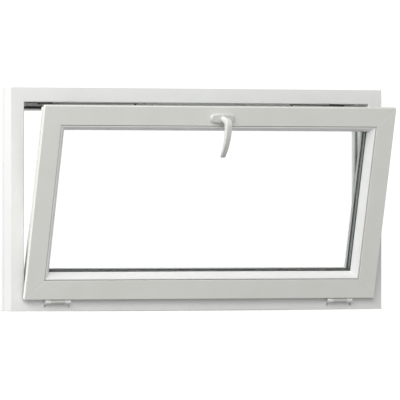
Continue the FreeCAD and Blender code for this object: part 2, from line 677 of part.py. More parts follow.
# ---------------------------------------------------------------- sash
def sash_section():
    """Sash profile: overlap lip, hardware groove, glazing platform with a bead groove, outside flange."""
    front, back = "-sizes.sash_proud", "derived.sash_back"
    lip, platform = "sizes.lip_height", "sizes.sash_face"
    wall, bevel = "sizes.wall", "sizes.edge_break"
    groove, groove_end = "sizes.groove_at", "sizes.groove_at + sizes.groove_width"
    channel, channel_end = "derived.channel_at", "derived.channel_at + derived.channel_width"
    seat = f"{lip} + sizes.faceplate"
    outline = [
        (f"{front} + {bevel}", "0"),
        ("derived.lip_back", "0"),
        ("derived.lip_back", lip),
        (groove, lip),
        (groove, seat),
        (channel, seat),
        (channel, "derived.channel_floor"),
        (channel_end, "derived.channel_floor"),
        (channel_end, seat),
        (groove_end, seat),
        (groove_end, lip),
        (back, lip),
        (back, f"derived.daylight - {bevel}"),
        (f"{back} - {bevel}", "derived.daylight"),
        ("derived.flange_front", "derived.daylight"),
        ("derived.flange_front", platform),
        (BEAD_FOOT_BACK, platform),
        (BEAD_FOOT_BACK, f"{platform} - 2.5"),
        (BEAD_FOOT_FRONT, f"{platform} - 2.5"),
        (BEAD_FOOT_FRONT, platform),
        (front, platform),
        (front, bevel),
    ]
    steel_end = "sizes.sash_steel_at + sizes.sash_steel_chamber"
    under = f"{platform} - {wall}"
    chambers = [
        rectangle(f"{front} + {wall}", wall, f"derived.lip_back - {wall}", f"{lip} - {wall}"),
        rectangle(f"{front} + {wall}", lip, f"{groove} - {wall}", f"{under} - {wall}"),
        rectangle(groove, f"derived.channel_floor + {wall}", f"sizes.sash_steel_at - {wall}", under),
        rectangle("sizes.sash_steel_at", f"{lip} + {wall}", steel_end, under),
        rectangle(f"{steel_end} + sizes.web", f"{lip} + {wall}", f"{back} - {wall}", under),
        rectangle(f"derived.flange_front + {wall}", f"{platform} + {wall}", f"{back} - {wall}", f"derived.daylight - {wall}"),
    ]
    return [outline] + chambers


BEAD_FOOT_FRONT = "derived.lip_back - 4"
BEAD_FOOT_BACK = "derived.lip_back - 1"
SASH_BARS = {"top": "sash_top_rail", "bottom": "sash_bottom_rail", "left": "sash_stile_left", "right": "sash_stile_right"}


def stay_slot_reach():
    """How far from the window's middle the guide pin travels: folded, then at rest."""
    folded = "sizes.stay_spread / 2 - sizes.stay_length"
    at_rest = "sizes.stay_spread / 2 - sizes.stay_length * cos(sizes.stay_swing)"
    return folded, at_rest


def slot_box(spare="0"):
    """Low and high X, and low and high Y, of the slot that the guide pin travels in."""
    folded, at_rest = stay_slot_reach()
    end = f"sizes.stay_pin_radius + 1.5 + {spare}"
    half = f"sizes.guide_slot / 2 + {spare}"
    low_x, high_x = f"{folded} - ({end})", f"{at_rest} + {end}"
    return low_x, high_x, f"sizes.stay_pivot_at - ({half})", f"sizes.stay_pivot_at + {half}"


def mirrored(low_x, high_x, sign):
    """The same X range on the left (sign -1) or on the right (sign 1) of the middle."""
    return (f"-({high_x})", f"-({low_x})") if sign == "-1" else (low_x, high_x)


def machine_top_rail(body):
    """Openings milled in the top rail for the gearbox, spindle, handle screws, faceplate screws and stays."""
    channel_end = "derived.channel_at + derived.channel_width"
    half = "sizes.gearbox_length / 2 + 1"
    low = (f"-({half})", "derived.channel_at", "sizes.lip_height")
    depth = "sizes.lip_height + sizes.faceplate + 0.2 + sizes.rod_plate + sizes.gearbox_depth + 1"
    box_feature(body, "gearbox_pocket", low, (half, channel_end, depth))
    spindle = "-derived.spindle_z"
    bore = "sizes.spindle_size * 0.9"
    reach = "sizes.sash_proud + derived.channel_at + 2"
    drill(body, "spindle_bore", ("0", "-sizes.sash_proud - 1", spindle), ALONG_Y, bore, reach)
    for step in ("-", ""):
        start = (f"{step}sizes.handle_screw_spread / 2", "-sizes.sash_proud - 1", spindle)
        drill(body, f"handle_screw_hole{len(step)}", start, ALONG_Y, "sizes.handle_screw_radius + 0.4", reach)
        start = (f"{step}{FACEPLATE_SCREW_X}", "derived.groove_middle", "derived.channel_floor - 1")
        radius = "sizes.screw_radius + sizes.drill_gap"
        drill(body, f"faceplate_screw_hole{len(step)}", start, ALONG_Z, radius, "sizes.wall + 2")
    for side, sign in stay_places():
        low_x, high_x, low_y, high_y = slot_box()
        ends = mirrored(low_x, high_x, sign)
        top = "sizes.lip_height"
        box_feature(body, f"stay_slot_{side}", (ends[0], low_y, f"{top} - 1"), (ends[1], high_y, f"{top} + sizes.wall + 1"))
        for index, x in enumerate(guide_screw_places()):
            x = f"{sign} * ({x})"
            screw_hole(body, f"guide_hole_{side}{index}", (x, "sizes.stay_pivot_at", f"{top} - 1"), ALONG_Z)


FACEPLATE_SCREW_X = "(sizes.faceplate_length / 2 - 12)"


def guide_screw_places():
    low_x, high_x, _, _ = slot_box()
    return f"{low_x} - 8", f"{high_x} + 8"


def make_sash():
    steel = []
    for side, label in SASH_BARS.items():
        length = bar_length(side, "derived.sash_width", "derived.sash_height")
        body = mitred_bar(label, sash_section(), length, "derived.daylight")
        if side == "top":
            machine_top_rail(body)
        if side == "bottom":
            for index, sign in enumerate(("-", "")):
                for x in ("- 15", "+ 15"):
                    start = (f"{sign}sizes.hinge_spread / 2 {x}", "derived.lip_back - sizes.wall - 1", "sizes.lip_height / 2")
                    radius = "sizes.screw_radius + sizes.drill_gap"
                    drill(body, f"leaf_screw_hole_{index}{ord(x[0])}", start, ALONG_Y, radius, "sizes.wall + 2")
        keep(body, label, f"{TILTED} * {side_pose(side, 'sizes.sash_inset')}")
        low = "sizes.lip_height + sizes.wall"
        height = f"sizes.sash_face - sizes.wall - ({low})"
        bar = steel_bar(f"sash_steel_{side}", "sizes.sash_steel_at", "sizes.sash_steel_chamber", low, height, length)
        bar.setExpression("Placement", side_pose(side, "sizes.sash_inset"))
        steel.append(bar)
    keep(group("sash_steel", steel), "sash_steel_bars", TILTED)


def bead_section():
    """Glazing bead: a foot in the platform's groove, an upright nose and a face bowed back to the glass."""
    front, platform = "-sizes.sash_proud + sizes.bead_nose", "sizes.sash_face"
    outline = [
        (front, platform),
        (BEAD_FOOT_FRONT, platform),
        (f"{BEAD_FOOT_FRONT} + 0.2", f"{platform} - 2.3"),
        (f"{BEAD_FOOT_BACK} - 0.2", f"{platform} - 2.3"),
        (BEAD_FOOT_BACK, platform),
        ("derived.bead_back", platform),
        ("derived.bead_back", "derived.daylight"),
        ("derived.bead_back - 3", "derived.daylight", "45"),
        (front, f"{platform} + sizes.bead_step"),
    ]
    chamber = rectangle("derived.bead_back - 11", f"{platform} + 3", "derived.bead_back - 3", f"{platform} + 10")
    return [outline, chamber]


def make_glazing():
    for side in SASH_BARS:
        length = bar_length(side, "derived.sash_width", "derived.sash_height")
        body = mitred_bar(f"bead_{side}", bead_section(), length, "derived.daylight")
        keep(body, f"glazing_bead_{side}", f"{TILTED} * {side_pose(side, 'sizes.sash_inset')}")
    daylight = "sizes.sash_inset + derived.daylight"
    seal_low = f"{daylight} - 7"
    seal_band = "7 + sizes.seal_stand"
    for label, front in (("glazing_gasket_inner", "derived.bead_back"), ("glazing_gasket_outer", "derived.glass_back")):
        body = ring(label, seal_low, seal_band, "sizes.glazing_seal")
        keep(body, label, f"{TILTED} * {pose(y=front)}")
    edge = "sizes.sash_inset + derived.glass_edge"
    half = f"(sizes.window_width / 2 - ({edge}))"
    panes = {"glass_pane_inner": "derived.glass_front", "glass_pane_outer": "derived.glass_back - sizes.pane"}
    for label, front in panes.items():
        pane = plain_box(label, (f"-{half}", front, edge), (half, f"{front} + sizes.pane", f"sizes.window_height - ({edge})"))
        keep(pane, label, f"{TILTED} * {pose(f'-{half}', front, edge)}")
    front = "derived.glass_front + sizes.pane"
    body = ring("edge_seal", edge, "sizes.edge_seal_height", "sizes.pane_gap")
    keep(body, "glass_edge_seal", f"{TILTED} * {pose(y=front)}")
    body = ring("spacer_bar", f"{edge} + sizes.edge_seal_height", "sizes.spacer_height", "sizes.pane_gap")
    keep(body, "glass_spacer_bar", f"{TILTED} * {pose(y=front)}")
    keep(group("setting_block_set", setting_blocks(edge, half)), "setting_blocks", TILTED)


def setting_blocks(edge, half):
    """Two blocks under each edge of the glass."""
    blocks = []
    front, back = "derived.glass_front", "derived.glass_back"
    thin, long = "sizes.glass_edge_gap", "sizes.block_length / 2"
    top = f"sizes.window_height - ({edge})"
    for sign in ("-", ""):
        x = f"{sign}({half} - sizes.block_at)"
        for low, high in ((f"{edge} - {thin}", edge), (top, f"{top} + {thin}")):
            name = f"block_{len(blocks)}"
            blocks.append(plain_box(name, (f"{x} - {long}", front, low), (f"{x} + {long}", back, high)))
        outer, inner = f"{sign}({half} + {thin})", f"{sign}{half}"
        left, right = (outer, inner) if sign else (inner, outer)
        for z in (f"{edge} + sizes.block_at", f"{top} - sizes.block_at"):
            name = f"block_{len(blocks)}"
            blocks.append(plain_box(name, (left, front, f"{z} - {long}"), (right, back, f"{z} + {long}")))
    return blocks


def make_overlap_gasket():
    """Seal behind the sash's lip, notched where the hinge leaves pass."""
    front = "derived.lip_back"
    depth = f"-({front}) - sizes.gasket_gap"
    body = ring("overlap_gasket", "sizes.sash_inset + 1.5", "4", depth)
    for index, sign in enumerate(("-", "")):
        x = f"{sign}sizes.hinge_spread / 2"
        half = "sizes.leaf_width / 2 + sizes.side_gap"
        low = (f"{x} - ({half})", "-1", "sizes.sash_inset")
        box_feature(body, f"leaf_notch_{index}", low, (f"{x} + {half}", "6", "sizes.sash_inset + 10"))
    keep(body, "overlap_gasket", f"{TILTED} * {pose(y=front)}")


# ---------------------------------------------------------------- lock
def make_faceplate():
    """Strip over the hardware groove, slotted for the necks of the locking cams."""
    body = new_body("faceplate")
    half = "sizes.faceplate_length / 2"
    edge = "sizes.groove_at + 0.1"
    back = "sizes.groove_at + sizes.groove_width - 0.1"
    bottom, top = "derived.rail_top - sizes.faceplate", "derived.rail_top"
    box_feature(body, "strip", (f"-{half}", edge, bottom), (half, back, top), cut=False)
    room = "sizes.cam_neck_radius + 0.5"
    for index, (_, x) in enumerate(striker_places()):
        low = (f"{x} - ({room})", f"derived.groove_middle - ({room})", f"{bottom} - 1")
        high = (f"{x} + derived.rod_travel + {room}", f"derived.groove_middle + {room}", f"{top} + 1")
        box_feature(body, f"cam_slot_{index}", low, high)
    screws = []
    for step in ("-", ""):
        x = f"{step}{FACEPLATE_SCREW_X}"
        radius = "sizes.screw_radius + sizes.drill_gap"
        head = "sizes.screw_head_radius + sizes.drill_gap"
        start = (x, "derived.groove_middle", f"{bottom} - 1")
        drill(body, f"faceplate_hole{len(step)}", start, ALONG_Z, radius, "sizes.faceplate + 2")
        seat = (x, "derived.groove_middle", f"{top} - sizes.screw_head")
        drill(body, f"faceplate_seat{len(step)}", seat, ALONG_Z, head, "sizes.screw_head + 1")
        screws.append(top_screw(f"faceplate_screw{len(step)}", x, "derived.groove_middle", top, "sizes.channel_depth + 4"))
    keep(body, "faceplate", SASH_TOP)
    keep(group("faceplate_screw_set", screws), "faceplate_screws", SASH_TOP)


def top_screw(name, x, y, top, length):
    """Screw driven down from the top of the sash, its head flush with the fitting's top."""
    seat = f"{top} - sizes.screw_head"
    head = plain_bar(f"{name}_head", (x, y, seat), ALONG_Z, "sizes.screw_head_radius", "sizes.screw_head")
    shank = plain_bar(f"{name}_shank", (x, y, f"{top} - ({length})"), ALONG_Z, "sizes.screw_radius", length)
    return joined(name, [head, shank])


def make_drive_rod():
    """Rod under the faceplate: plain bar, rack teeth over the pinion, and two cams on necks."""
    body = new_body("drive_rod")
    middle, half = "derived.groove_middle", "sizes.rod_width / 2"
    end = "sizes.cam_spread / 2 + 8"
    low = (f"-({end})", f"{middle} - {half}", "derived.rod_bottom")
    high = (f"{end} + derived.rod_travel", f"{middle} + {half}", "derived.rod_top")
    box_feature(body, "rod_bar", low, high, cut=False)
    pitch = "(2 * pi * sizes.pinion_radius / sizes.pinion_teeth)"
    line = "(derived.spindle_z + sizes.pinion_radius)"
    gullets = []
    for index in range(-4, 5):
        x = f"({index}) * {pitch}"
        half = f"({pitch} / 4 + sizes.backlash)"
        mouth = f"{half} + (sizes.tooth_addendum + 1) * sizes.tooth_slope"
        foot = f"{half} - sizes.tooth_dedendum * sizes.tooth_slope"
        bottom, top = f"{line} - sizes.tooth_addendum - 1", f"{line} + sizes.tooth_dedendum"
        gullets.append(
            [(f"{x} - ({mouth})", bottom), (f"{x} + {mouth}", bottom), (f"{x} + {foot}", top), (f"{x} - ({foot})", top)]
        )
    pocket_through(body, "rack_gullets", "XZ_Plane", gullets)
    keep(body, "drive_rod", SASH_TOP)
    cams = []
    for index, (_, x) in enumerate(striker_places()):
        x = f"{x} + derived.rod_travel"
        neck = plain_bar(f"cam_neck_{index}", (x, middle, "derived.rod_top"), ALONG_Z, "sizes.cam_neck_radius",
                         "sizes.cam_reach + sizes.faceplate + 0.2")
        roller_low = "derived.rail_top + 2.3"
        roller = plain_bar(f"cam_roller_{index}", (x, middle, roller_low), ALONG_Z, "sizes.cam_radius", "sizes.cam_reach - 2.3")
        cams.append(joined(f"cam_{index}", [neck, roller]))
    keep(group("cam_set", cams), "lock_cams", SASH_TOP)


def make_gearbox():
    """Gearbox case and cover in the rail, with the pinion that the spindle turns."""
    middle = "derived.groove_middle"
    front, back = "(derived.channel_at + 0.3)", "(derived.channel_at + derived.channel_width - 0.3)"
    cover = "1.6"
    half = "sizes.gearbox_length / 2"
    top = "derived.rod_bottom - sizes.side_gap"
    bottom = f"{top} - sizes.gearbox_depth"
    tip = "(sizes.pinion_radius + sizes.tooth_addendum)"
    room = f"{tip} + 0.4"
    hub = "(sizes.spindle_size * 0.72 + 0.6)"
    case = new_body("gearbox_case")
    box_feature(case, "case_block", (f"-{half}", front, bottom), (half, f"{back} - {cover}", top), cut=False)
    inner = f"{front} + 2"
    room_depth = f"{back} - {cover} - ({inner})"
    drill(case, "pinion_room", ("0", inner, "derived.spindle_z"), ALONG_Y, room, f"{room_depth} + 1")
    drill(case, "hub_bore", ("0", f"{front} - 1", "derived.spindle_z"), ALONG_Y, f"{hub} + sizes.running_gap", "5")
    for step in ("-", ""):
        start = (f"{step}sizes.handle_screw_spread / 2", f"{front} - 1", "derived.spindle_z")
        drill(case, f"case_thread{len(step)}", start, ALONG_Y, "sizes.handle_screw_radius + sizes.drill_gap",
              "derived.channel_width + 2")
    keep(case, "gearbox_case", SASH_TOP)
    lid = new_body("gearbox_cover")
    box_feature(lid, "lid_block", (f"-{half}", f"{back} - {cover}", bottom), (half, back, top), cut=False)
    drill(lid, "lid_bore", ("0", f"{back} - {cover} - 1", "derived.spindle_z"), ALONG_Y, f"{hub} + sizes.running_gap",
          f"{cover} + 2")
    keep(lid, "gearbox_cover", SASH_TOP)

    pinion = new_body("pinion")
    blank = "(sizes.pinion_radius - sizes.tooth_dedendum)"
    start = ("0", f"{inner} + 0.3", "0")
    face = f"{room_depth} - 0.6"
    drill(pinion, "pinion_blank", start, ALONG_Y, blank, face, cut=False)
    drill(pinion, "pinion_hub", ("0", front, "0"), ALONG_Y, hub, f"{back} - {front}", cut=False)
    doc.recompute()
    tooth_sketch = new_sketch(pinion, "XZ_Plane", "tooth_sketch")
    width = "(2 * pi * sizes.pinion_radius / sizes.pinion_teeth)"
    root, crest = f"{width} * 0.27", f"{width} * 0.11"
    low, high = f"{blank} - 0.8", tip
    draw_loop(tooth_sketch, [(f"-({root})", low), (root, low), (crest, high), (f"-({crest})", high)])
    doc.recompute()
    tooth = pinion.newObject("PartDesign::Pad", "tooth")
    tooth.Profile = tooth_sketch
    tooth.setExpression("Length", face)
    tooth.Reversed = True
    tooth_sketch.setExpression("AttachmentOffset", f"placement(vector(0; 0; -({inner} + 0.3)); rotation(vector(0; 0; 1); 0))")
    doc.recompute()
    teeth = pinion.newObject("PartDesign::PolarPattern", "teeth")
    teeth.Originals = [tooth]
    y_axis = next(f for f in pinion.Origin.OriginFeatures if f.Role == "Y_Axis")
    teeth.Axis = (y_axis, [""])
    teeth.Angle = 360
    teeth.setExpression("Occurrences", "sizes.pinion_teeth")
    pinion.Tip = teeth
    doc.recompute()
    across = "(sizes.spindle_size / 2 + sizes.running_gap)"
    box_feature(pinion, "spindle_square", (f"-{across}", f"{front} - 1", f"-{across}"), (across, f"{back} + 1", across))
    keep(pinion, "gearbox_pinion", f"{SASH_TOP} * {pose(z='derived.spindle_z')}")


# ---------------------------------------------------------------- handle
def make_handle():
    """Base plate, snap-on rosette, lever with its neck, square spindle and two long screws."""
    face = "sizes.rosette_base"
    base = new_body("handle_base")
    inset = "4"
    pad(base, "base_plate", "XZ_Plane", [stadium(f"sizes.rosette_length - {inset}", f"sizes.rosette_height - {inset}")], face)
    bore = "sizes.neck_radius + 0.06"
    drill(base, "base_boss", ("0", f"-{face} - 4", "0"), ALONG_Y, "sizes.neck_radius + 2.5", f"{face} + 3.5", cut=False)
    drill(base, "base_bore", ("0", f"-{face} - 5", "0"), ALONG_Y, bore, f"{face} + 6")
    for step in ("-", ""):
        start = (f"{step}sizes.handle_screw_spread / 2", f"-{face} - 1", "0")
        drill(base, f"base_hole{len(step)}", start, ALONG_Y, "sizes.handle_screw_radius + 0.1", f"{face} + 2")
    keep(base, "handle_base", HANDLE)

    cover = new_body("handle_rosette")
    pad(cover, "rosette_block", "XZ_Plane", [stadium("sizes.rosette_length", "sizes.rosette_height")], "sizes.rosette_depth")
    cavity = stadium(f"sizes.rosette_length - {inset} + 0.4", f"sizes.rosette_height - {inset} + 0.4")
    before = cover.Shape.Volume
    sketch = new_sketch(cover, "XZ_Plane", "cavity_sketch")
    draw_loop(sketch, cavity)
    doc.recompute()
    room = cover.newObject("PartDesign::Pocket", "rosette_cavity")
    room.Profile = sketch
    room.setExpression("Length", "sizes.rosette_depth - 2")
    room.Reversed = True
    doc.recompute()
    if not room.Shape.Volume < before:
        raise RuntimeError("the rosette's cavity cuts nothing")
    drill(cover, "rosette_bore", ("0", "-sizes.rosette_depth - 1", "0"), ALONG_Y, bore, "4")
    keep(cover, "handle_rosette", HANDLE)

    lever = new_body("handle_lever")
    drill(lever, "neck", ("0", "-sizes.neck_reach + 8", "0"), ALONG_Y, "sizes.neck_radius", "sizes.neck_reach - 8 - 3.5",
          cut=False)
    thick, reach, drop = "sizes.lever_thickness", "sizes.neck_reach", "sizes.lever_drop"
    tip, bow = "sizes.lever_tip_reach", "sizes.lever_bow_radius"
    outline = [
        (f"-({reach} - 10)", "sizes.neck_radius - 1"),
        (f"-{reach}", "sizes.neck_radius - 3", bow),
        (f"-{tip}", f"-{drop}"),
        (f"-{tip} + {thick}", f"-{drop} + 2", f"-({bow} - {thick})"),
        (f"-({reach} - {thick} - 1)", "-sizes.neck_radius + 1"),
    ]
    pad(lever, "lever_grip", "YZ_Plane", [outline], "sizes.lever_width", middle=True)
    across = "(sizes.spindle_size / 2 + sizes.running_gap)"
    box_feature(lever, "spindle_socket", (f"-{across}", "-sizes.neck_reach + 12", f"-{across}"), (across, "0", across))
    keep(lever, "handle_lever", HANDLE)

    half = "sizes.spindle_size / 2"
    spindle_back = "derived.channel_at + derived.channel_width + sizes.sash_proud - 1"
    spindle_low = (f"-{half}", "-sizes.neck_reach + 13", f"-{half}")
    spindle = new_body("spindle")
    box_feature(spindle, "spindle_bar", spindle_low, (half, spindle_back, half), cut=False)
    keep(spindle, "handle_spindle", HANDLE)

    screws = []
    for step in ("-", ""):
        x = f"{step}sizes.handle_screw_spread / 2"
        head = plain_bar(f"handle_screw_head{len(step)}", (x, f"-{face} - 2.8", "0"), ALONG_Y,
                         "sizes.handle_screw_radius * 1.7", "2.8")
        reach_in = f"{face} + 2.8 + sizes.sash_proud + derived.channel_at + derived.channel_width - 2"
        shank = plain_bar(f"handle_screw_shank{len(step)}", (x, f"-{face} - 2.8", "0"), ALONG_Y,
                          "sizes.handle_screw_radius", reach_in)
        screws.append(joined(f"handle_screw{len(step)}", [head, shank]))
    keep(group("handle_screw_set", screws), "handle_screws", HANDLE)


# ---------------------------------------------------------------- stays
def make_stays():
    """Folding stays: a bracket under the frame head, an arm that swings out of it, and a guide pin in the sash."""
    bracket_screws, guide_screws, guides = [], [], []
    floor, arm_top = "derived.head_floor", "derived.arm_top"
    under = f"{floor} - sizes.bracket_plate"
    pin = "sizes.stay_pin_radius"
    for side, sign in stay_places():
        x, y = f"{sign} * sizes.stay_spread / 2", "sizes.stay_pivot_at"
        place = pose(x=x)
        bracket = new_body(f"stay_bracket_{side}")
        low = ("-36", f"{y} - 11", under)
        box_feature(bracket, f"stay_plate_{side}", low, ("36", f"{y} + 11", floor), cut=False)
        rivet_low = f"{arm_top} - sizes.arm_plate - 1.2"
        drill(bracket, f"stay_pivot_{side}", ("0", y, rivet_low), ALONG_Z, pin, f"{floor} - ({rivet_low})", cut=False)
        for step in ("-", ""):
            seat = (f"{step}{STAY_SCREW_X}", STAY_SCREW_Y, under)
            sink_head(bracket, f"stay_screw_{side}{len(step)}", seat, ALONG_Z)
            start = (f"{x} + {step}{STAY_SCREW_X}", STAY_SCREW_Y, under)
            bracket_screws.append(screw(f"stay_screw_bar_{side}{len(step)}", start, ALONG_Z))
        keep(bracket, f"stay_bracket_{side}", f"{HEAD} * {place}")

        arm = new_body(f"stay_arm_{side}")
        bottom = f"{arm_top} - sizes.arm_plate"
        half = "sizes.arm_width / 2"
        drill(arm, f"arm_eye_{side}", ("0", "0", bottom), ALONG_Z, half, "sizes.arm_plate", cut=False)
        drill(arm, f"arm_end_{side}", ("sizes.stay_length", "0", bottom), ALONG_Z, half, "sizes.arm_plate", cut=False)
        flat_low, flat_high = ("0", f"-{half}", bottom), ("sizes.stay_length", half, arm_top)
        box_feature(arm, f"arm_flat_{side}", flat_low, flat_high, cut=False)
        drill(arm, f"arm_bore_{side}", ("0", "0", f"{bottom} - 1"), ALONG_Z, f"{pin} + sizes.running_gap",
              "sizes.arm_plate + 2")
        drill(arm, f"arm_pin_bore_{side}", ("sizes.stay_length", "0", f"{bottom} - 1"), ALONG_Z, pin, "sizes.arm_plate + 2")
        swing = "-sizes.stay_swing" if side == "left" else "180 + sizes.stay_swing"
        arm_pose = f"{HEAD} * {pose(x, y, '0', turn('0; 0; 1', swing))}"
        keep(arm, f"stay_arm_{side}", arm_pose)
        guide_pin = new_body(f"guide_pin_{side}")
        drill(guide_pin, f"guide_pin_bar_{side}", ("sizes.stay_length", "0", f"{bottom} - sizes.stay_pin_reach"), ALONG_Z,
              pin, "sizes.stay_pin_reach + sizes.arm_plate", cut=False)
        keep(guide_pin, f"stay_guide_pin_{side}", arm_pose)

        low_x, high_x, low_y, high_y = slot_box()
        plate_x = mirrored(f"{low_x} - 14", f"{high_x} + 14", sign)
        plate = new_body(f"guide_plate_{side}")
        top = "derived.rail_top + sizes.guide_plate"
        back = "derived.sash_back - 1"
        low = (plate_x[0], f"{low_y} - 3.5", "derived.rail_top")
        box_feature(plate, f"guide_flat_{side}", low, (plate_x[1], back, top), cut=False)
        slot_x = mirrored(low_x, high_x, sign)
        low = (slot_x[0], low_y, "derived.rail_top - 1")
        box_feature(plate, f"guide_slot_{side}", low, (slot_x[1], high_y, f"{top} + 1"))
        for index, place_x in enumerate(guide_screw_places()):
            screw_x = f"{sign} * ({place_x})"
            radius = "sizes.screw_radius + sizes.drill_gap"
            drill(plate, f"guide_screw_{side}{index}", (screw_x, y, "derived.rail_top - 1"), ALONG_Z, radius, "5")
            seat = (screw_x, y, f"{top} - sizes.screw_head")
            drill(plate, f"guide_seat_{side}{index}", seat, ALONG_Z, "sizes.screw_head_radius + sizes.drill_gap", "3")
            guide_screws.append(top_screw(f"guide_screw_bar_{side}{index}", screw_x, y, top, "sizes.screw_length"))
        guides.append(plate)
    keep(group("guide_plate_set", guides), "stay_guide_plates", SASH_TOP)
    keep(group("stay_screw_set", bracket_screws), "stay_bracket_screws", HEAD)
    keep(group("guide_screw_set", guide_screws), "stay_guide_screws", SASH_TOP)


# ---------------------------------------------------------------- checks and files
def check_document():
    """Stop if any object failed to compute, or if a sub-part's shape is empty or not valid."""
    for item in doc.Objects:
        if {"Invalid", "Error"} & set(item.State):
            raise RuntimeError(f"{item.Name} is {item.State}")
    for item in NODES:
        shape = item.Shape
        if shape.isNull() or not shape.Solids or not shape.isValid():
            raise RuntimeError(f"{item.Label} has no valid solid")


def write_files():
    os.makedirs("parts", exist_ok=True)
    for item in NODES:
        item.Shape.exportStep(f"parts/{item.Label}.step")


make_frame()
make_frame_gasket()
make_strikers()
make_drain_caps()
make_hinges()
make_sash()
make_glazing()
make_overlap_gasket()
make_faceplate()
make_drive_rod()
make_gearbox()
make_handle()
make_stays()
doc.recompute()
check_document()
write_files()
print(f"{len(NODES)} nodes, {sum(len(item.Shape.Solids) for item in NODES)} solids")
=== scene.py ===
"""Looks of a bottom-hung window: fixed frame, leaning glazed sash, lever handle, hinges and stays.

Every length in the classes is in millimetres. Meshes are written in metres, in the row frame:
+X to the right as seen from the room, -Y towards the room, +Z up, origin under the frame's middle.
A piece's own depth runs from the frame's room-side face (0) towards the outside (positive).
"""

import json
import logging
import math
from collections.abc import Sequence
from dataclasses import dataclass
from enum import Enum

import bmesh
import bpy
import numpy as np
from mathutils import Matrix, Vector
from mathutils.geometry import tessellate_polygon

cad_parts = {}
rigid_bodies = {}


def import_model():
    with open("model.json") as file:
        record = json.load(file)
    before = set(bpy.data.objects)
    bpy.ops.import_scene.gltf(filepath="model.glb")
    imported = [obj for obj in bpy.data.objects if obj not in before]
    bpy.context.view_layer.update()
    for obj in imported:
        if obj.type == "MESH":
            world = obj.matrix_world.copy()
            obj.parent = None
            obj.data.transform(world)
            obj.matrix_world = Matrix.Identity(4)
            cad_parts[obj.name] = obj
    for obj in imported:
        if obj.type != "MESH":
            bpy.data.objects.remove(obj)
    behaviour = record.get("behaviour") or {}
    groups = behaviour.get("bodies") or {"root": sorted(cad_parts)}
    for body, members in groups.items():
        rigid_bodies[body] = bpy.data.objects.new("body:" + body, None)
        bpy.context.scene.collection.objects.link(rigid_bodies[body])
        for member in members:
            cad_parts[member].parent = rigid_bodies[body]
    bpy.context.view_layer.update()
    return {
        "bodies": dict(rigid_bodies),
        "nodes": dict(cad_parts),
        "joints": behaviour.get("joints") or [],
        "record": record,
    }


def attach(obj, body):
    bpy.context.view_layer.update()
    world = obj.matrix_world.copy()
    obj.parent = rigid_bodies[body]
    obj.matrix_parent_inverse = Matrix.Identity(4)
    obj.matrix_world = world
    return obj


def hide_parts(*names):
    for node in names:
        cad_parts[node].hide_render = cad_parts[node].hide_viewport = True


LOG = logging.getLogger("window")
MM = 0.001
Loop = np.ndarray
Socket = bpy.types.NodeSocket
MERGE = 1e-7  # metres; points closer than this become one
SOFT_ANGLE = 32.0  # degrees; edges sharper than this stay sharp
FINE = {"steps": 4, "support": 0.1}  # how small turned and pushed outlines are rounded
# Share of a joint groove's reach and of its depth at each station from the mitre; the last one keeps the
# shading of the bar flat.
JOINT_STATIONS = ((0.0, 1.0), (0.35, 0.85), (0.75, 0.25), (1.0, 0.0), (1.6, 0.0))


# ---------------------------------------------------------------- shader expressions
class Expression:
    """A number socket that takes part in Python arithmetic by adding Math nodes."""

    def __init__(self, shader: "Shader", socket: Socket) -> None:
        """Wraps a socket.

        Args:
            shader: the shader whose tree gets the nodes.
            socket: an output socket that holds a number.
        """
        self.shader = shader
        self.socket = socket

    def math(self, operation: str, *others: "Expression | float", first: bool = True) -> "Expression":
        """Adds one Math node.

        Args:
            operation: the Math node's operation.
            *others: the other values, in order.
            first: whether this value is the node's first input or its second.

        Returns:
            The node's result.
        """
        values = [self, *others] if first else [*others, self]
        node = self.shader.node("ShaderNodeMath", {"operation": operation}, dict(enumerate(values)))
        return Expression(self.shader, node.outputs[0])

    def __add__(self, other: "Expression | float") -> "Expression":
        """Sum."""
        return self.math("ADD", other)

    __radd__ = __add__

    def __sub__(self, other: "Expression | float") -> "Expression":
        """Difference."""
        return self.math("SUBTRACT", other)

    def __rsub__(self, other: float) -> "Expression":
        """Difference from a number."""
        return self.math("SUBTRACT", other, first=False)

    def __mul__(self, other: "Expression | float") -> "Expression":
        """Product."""
        return self.math("MULTIPLY", other)

    __rmul__ = __mul__

    def __abs__(self) -> "Expression":
        """Size without sign."""
        return self.math("ABSOLUTE")

    def fraction(self) -> "Expression":
        """What is left over after the whole number."""
        return self.math("FRACT")

    def ramp(self, low: float, high: float) -> "Expression":
        """Smooth step from 0 at low to 1 at high.

        Args:
            low: value that gives 0.
            high: value that gives 1; it may be below low.

        Returns:
            The step.
        """
        settings = {"interpolation_type": "SMOOTHSTEP"}
        values = {"Value": self, "From Min": low, "From Max": high}
        node = self.shader.node("ShaderNodeMapRange", settings, values)
        return Expression(self.shader, node.outputs["Result"])


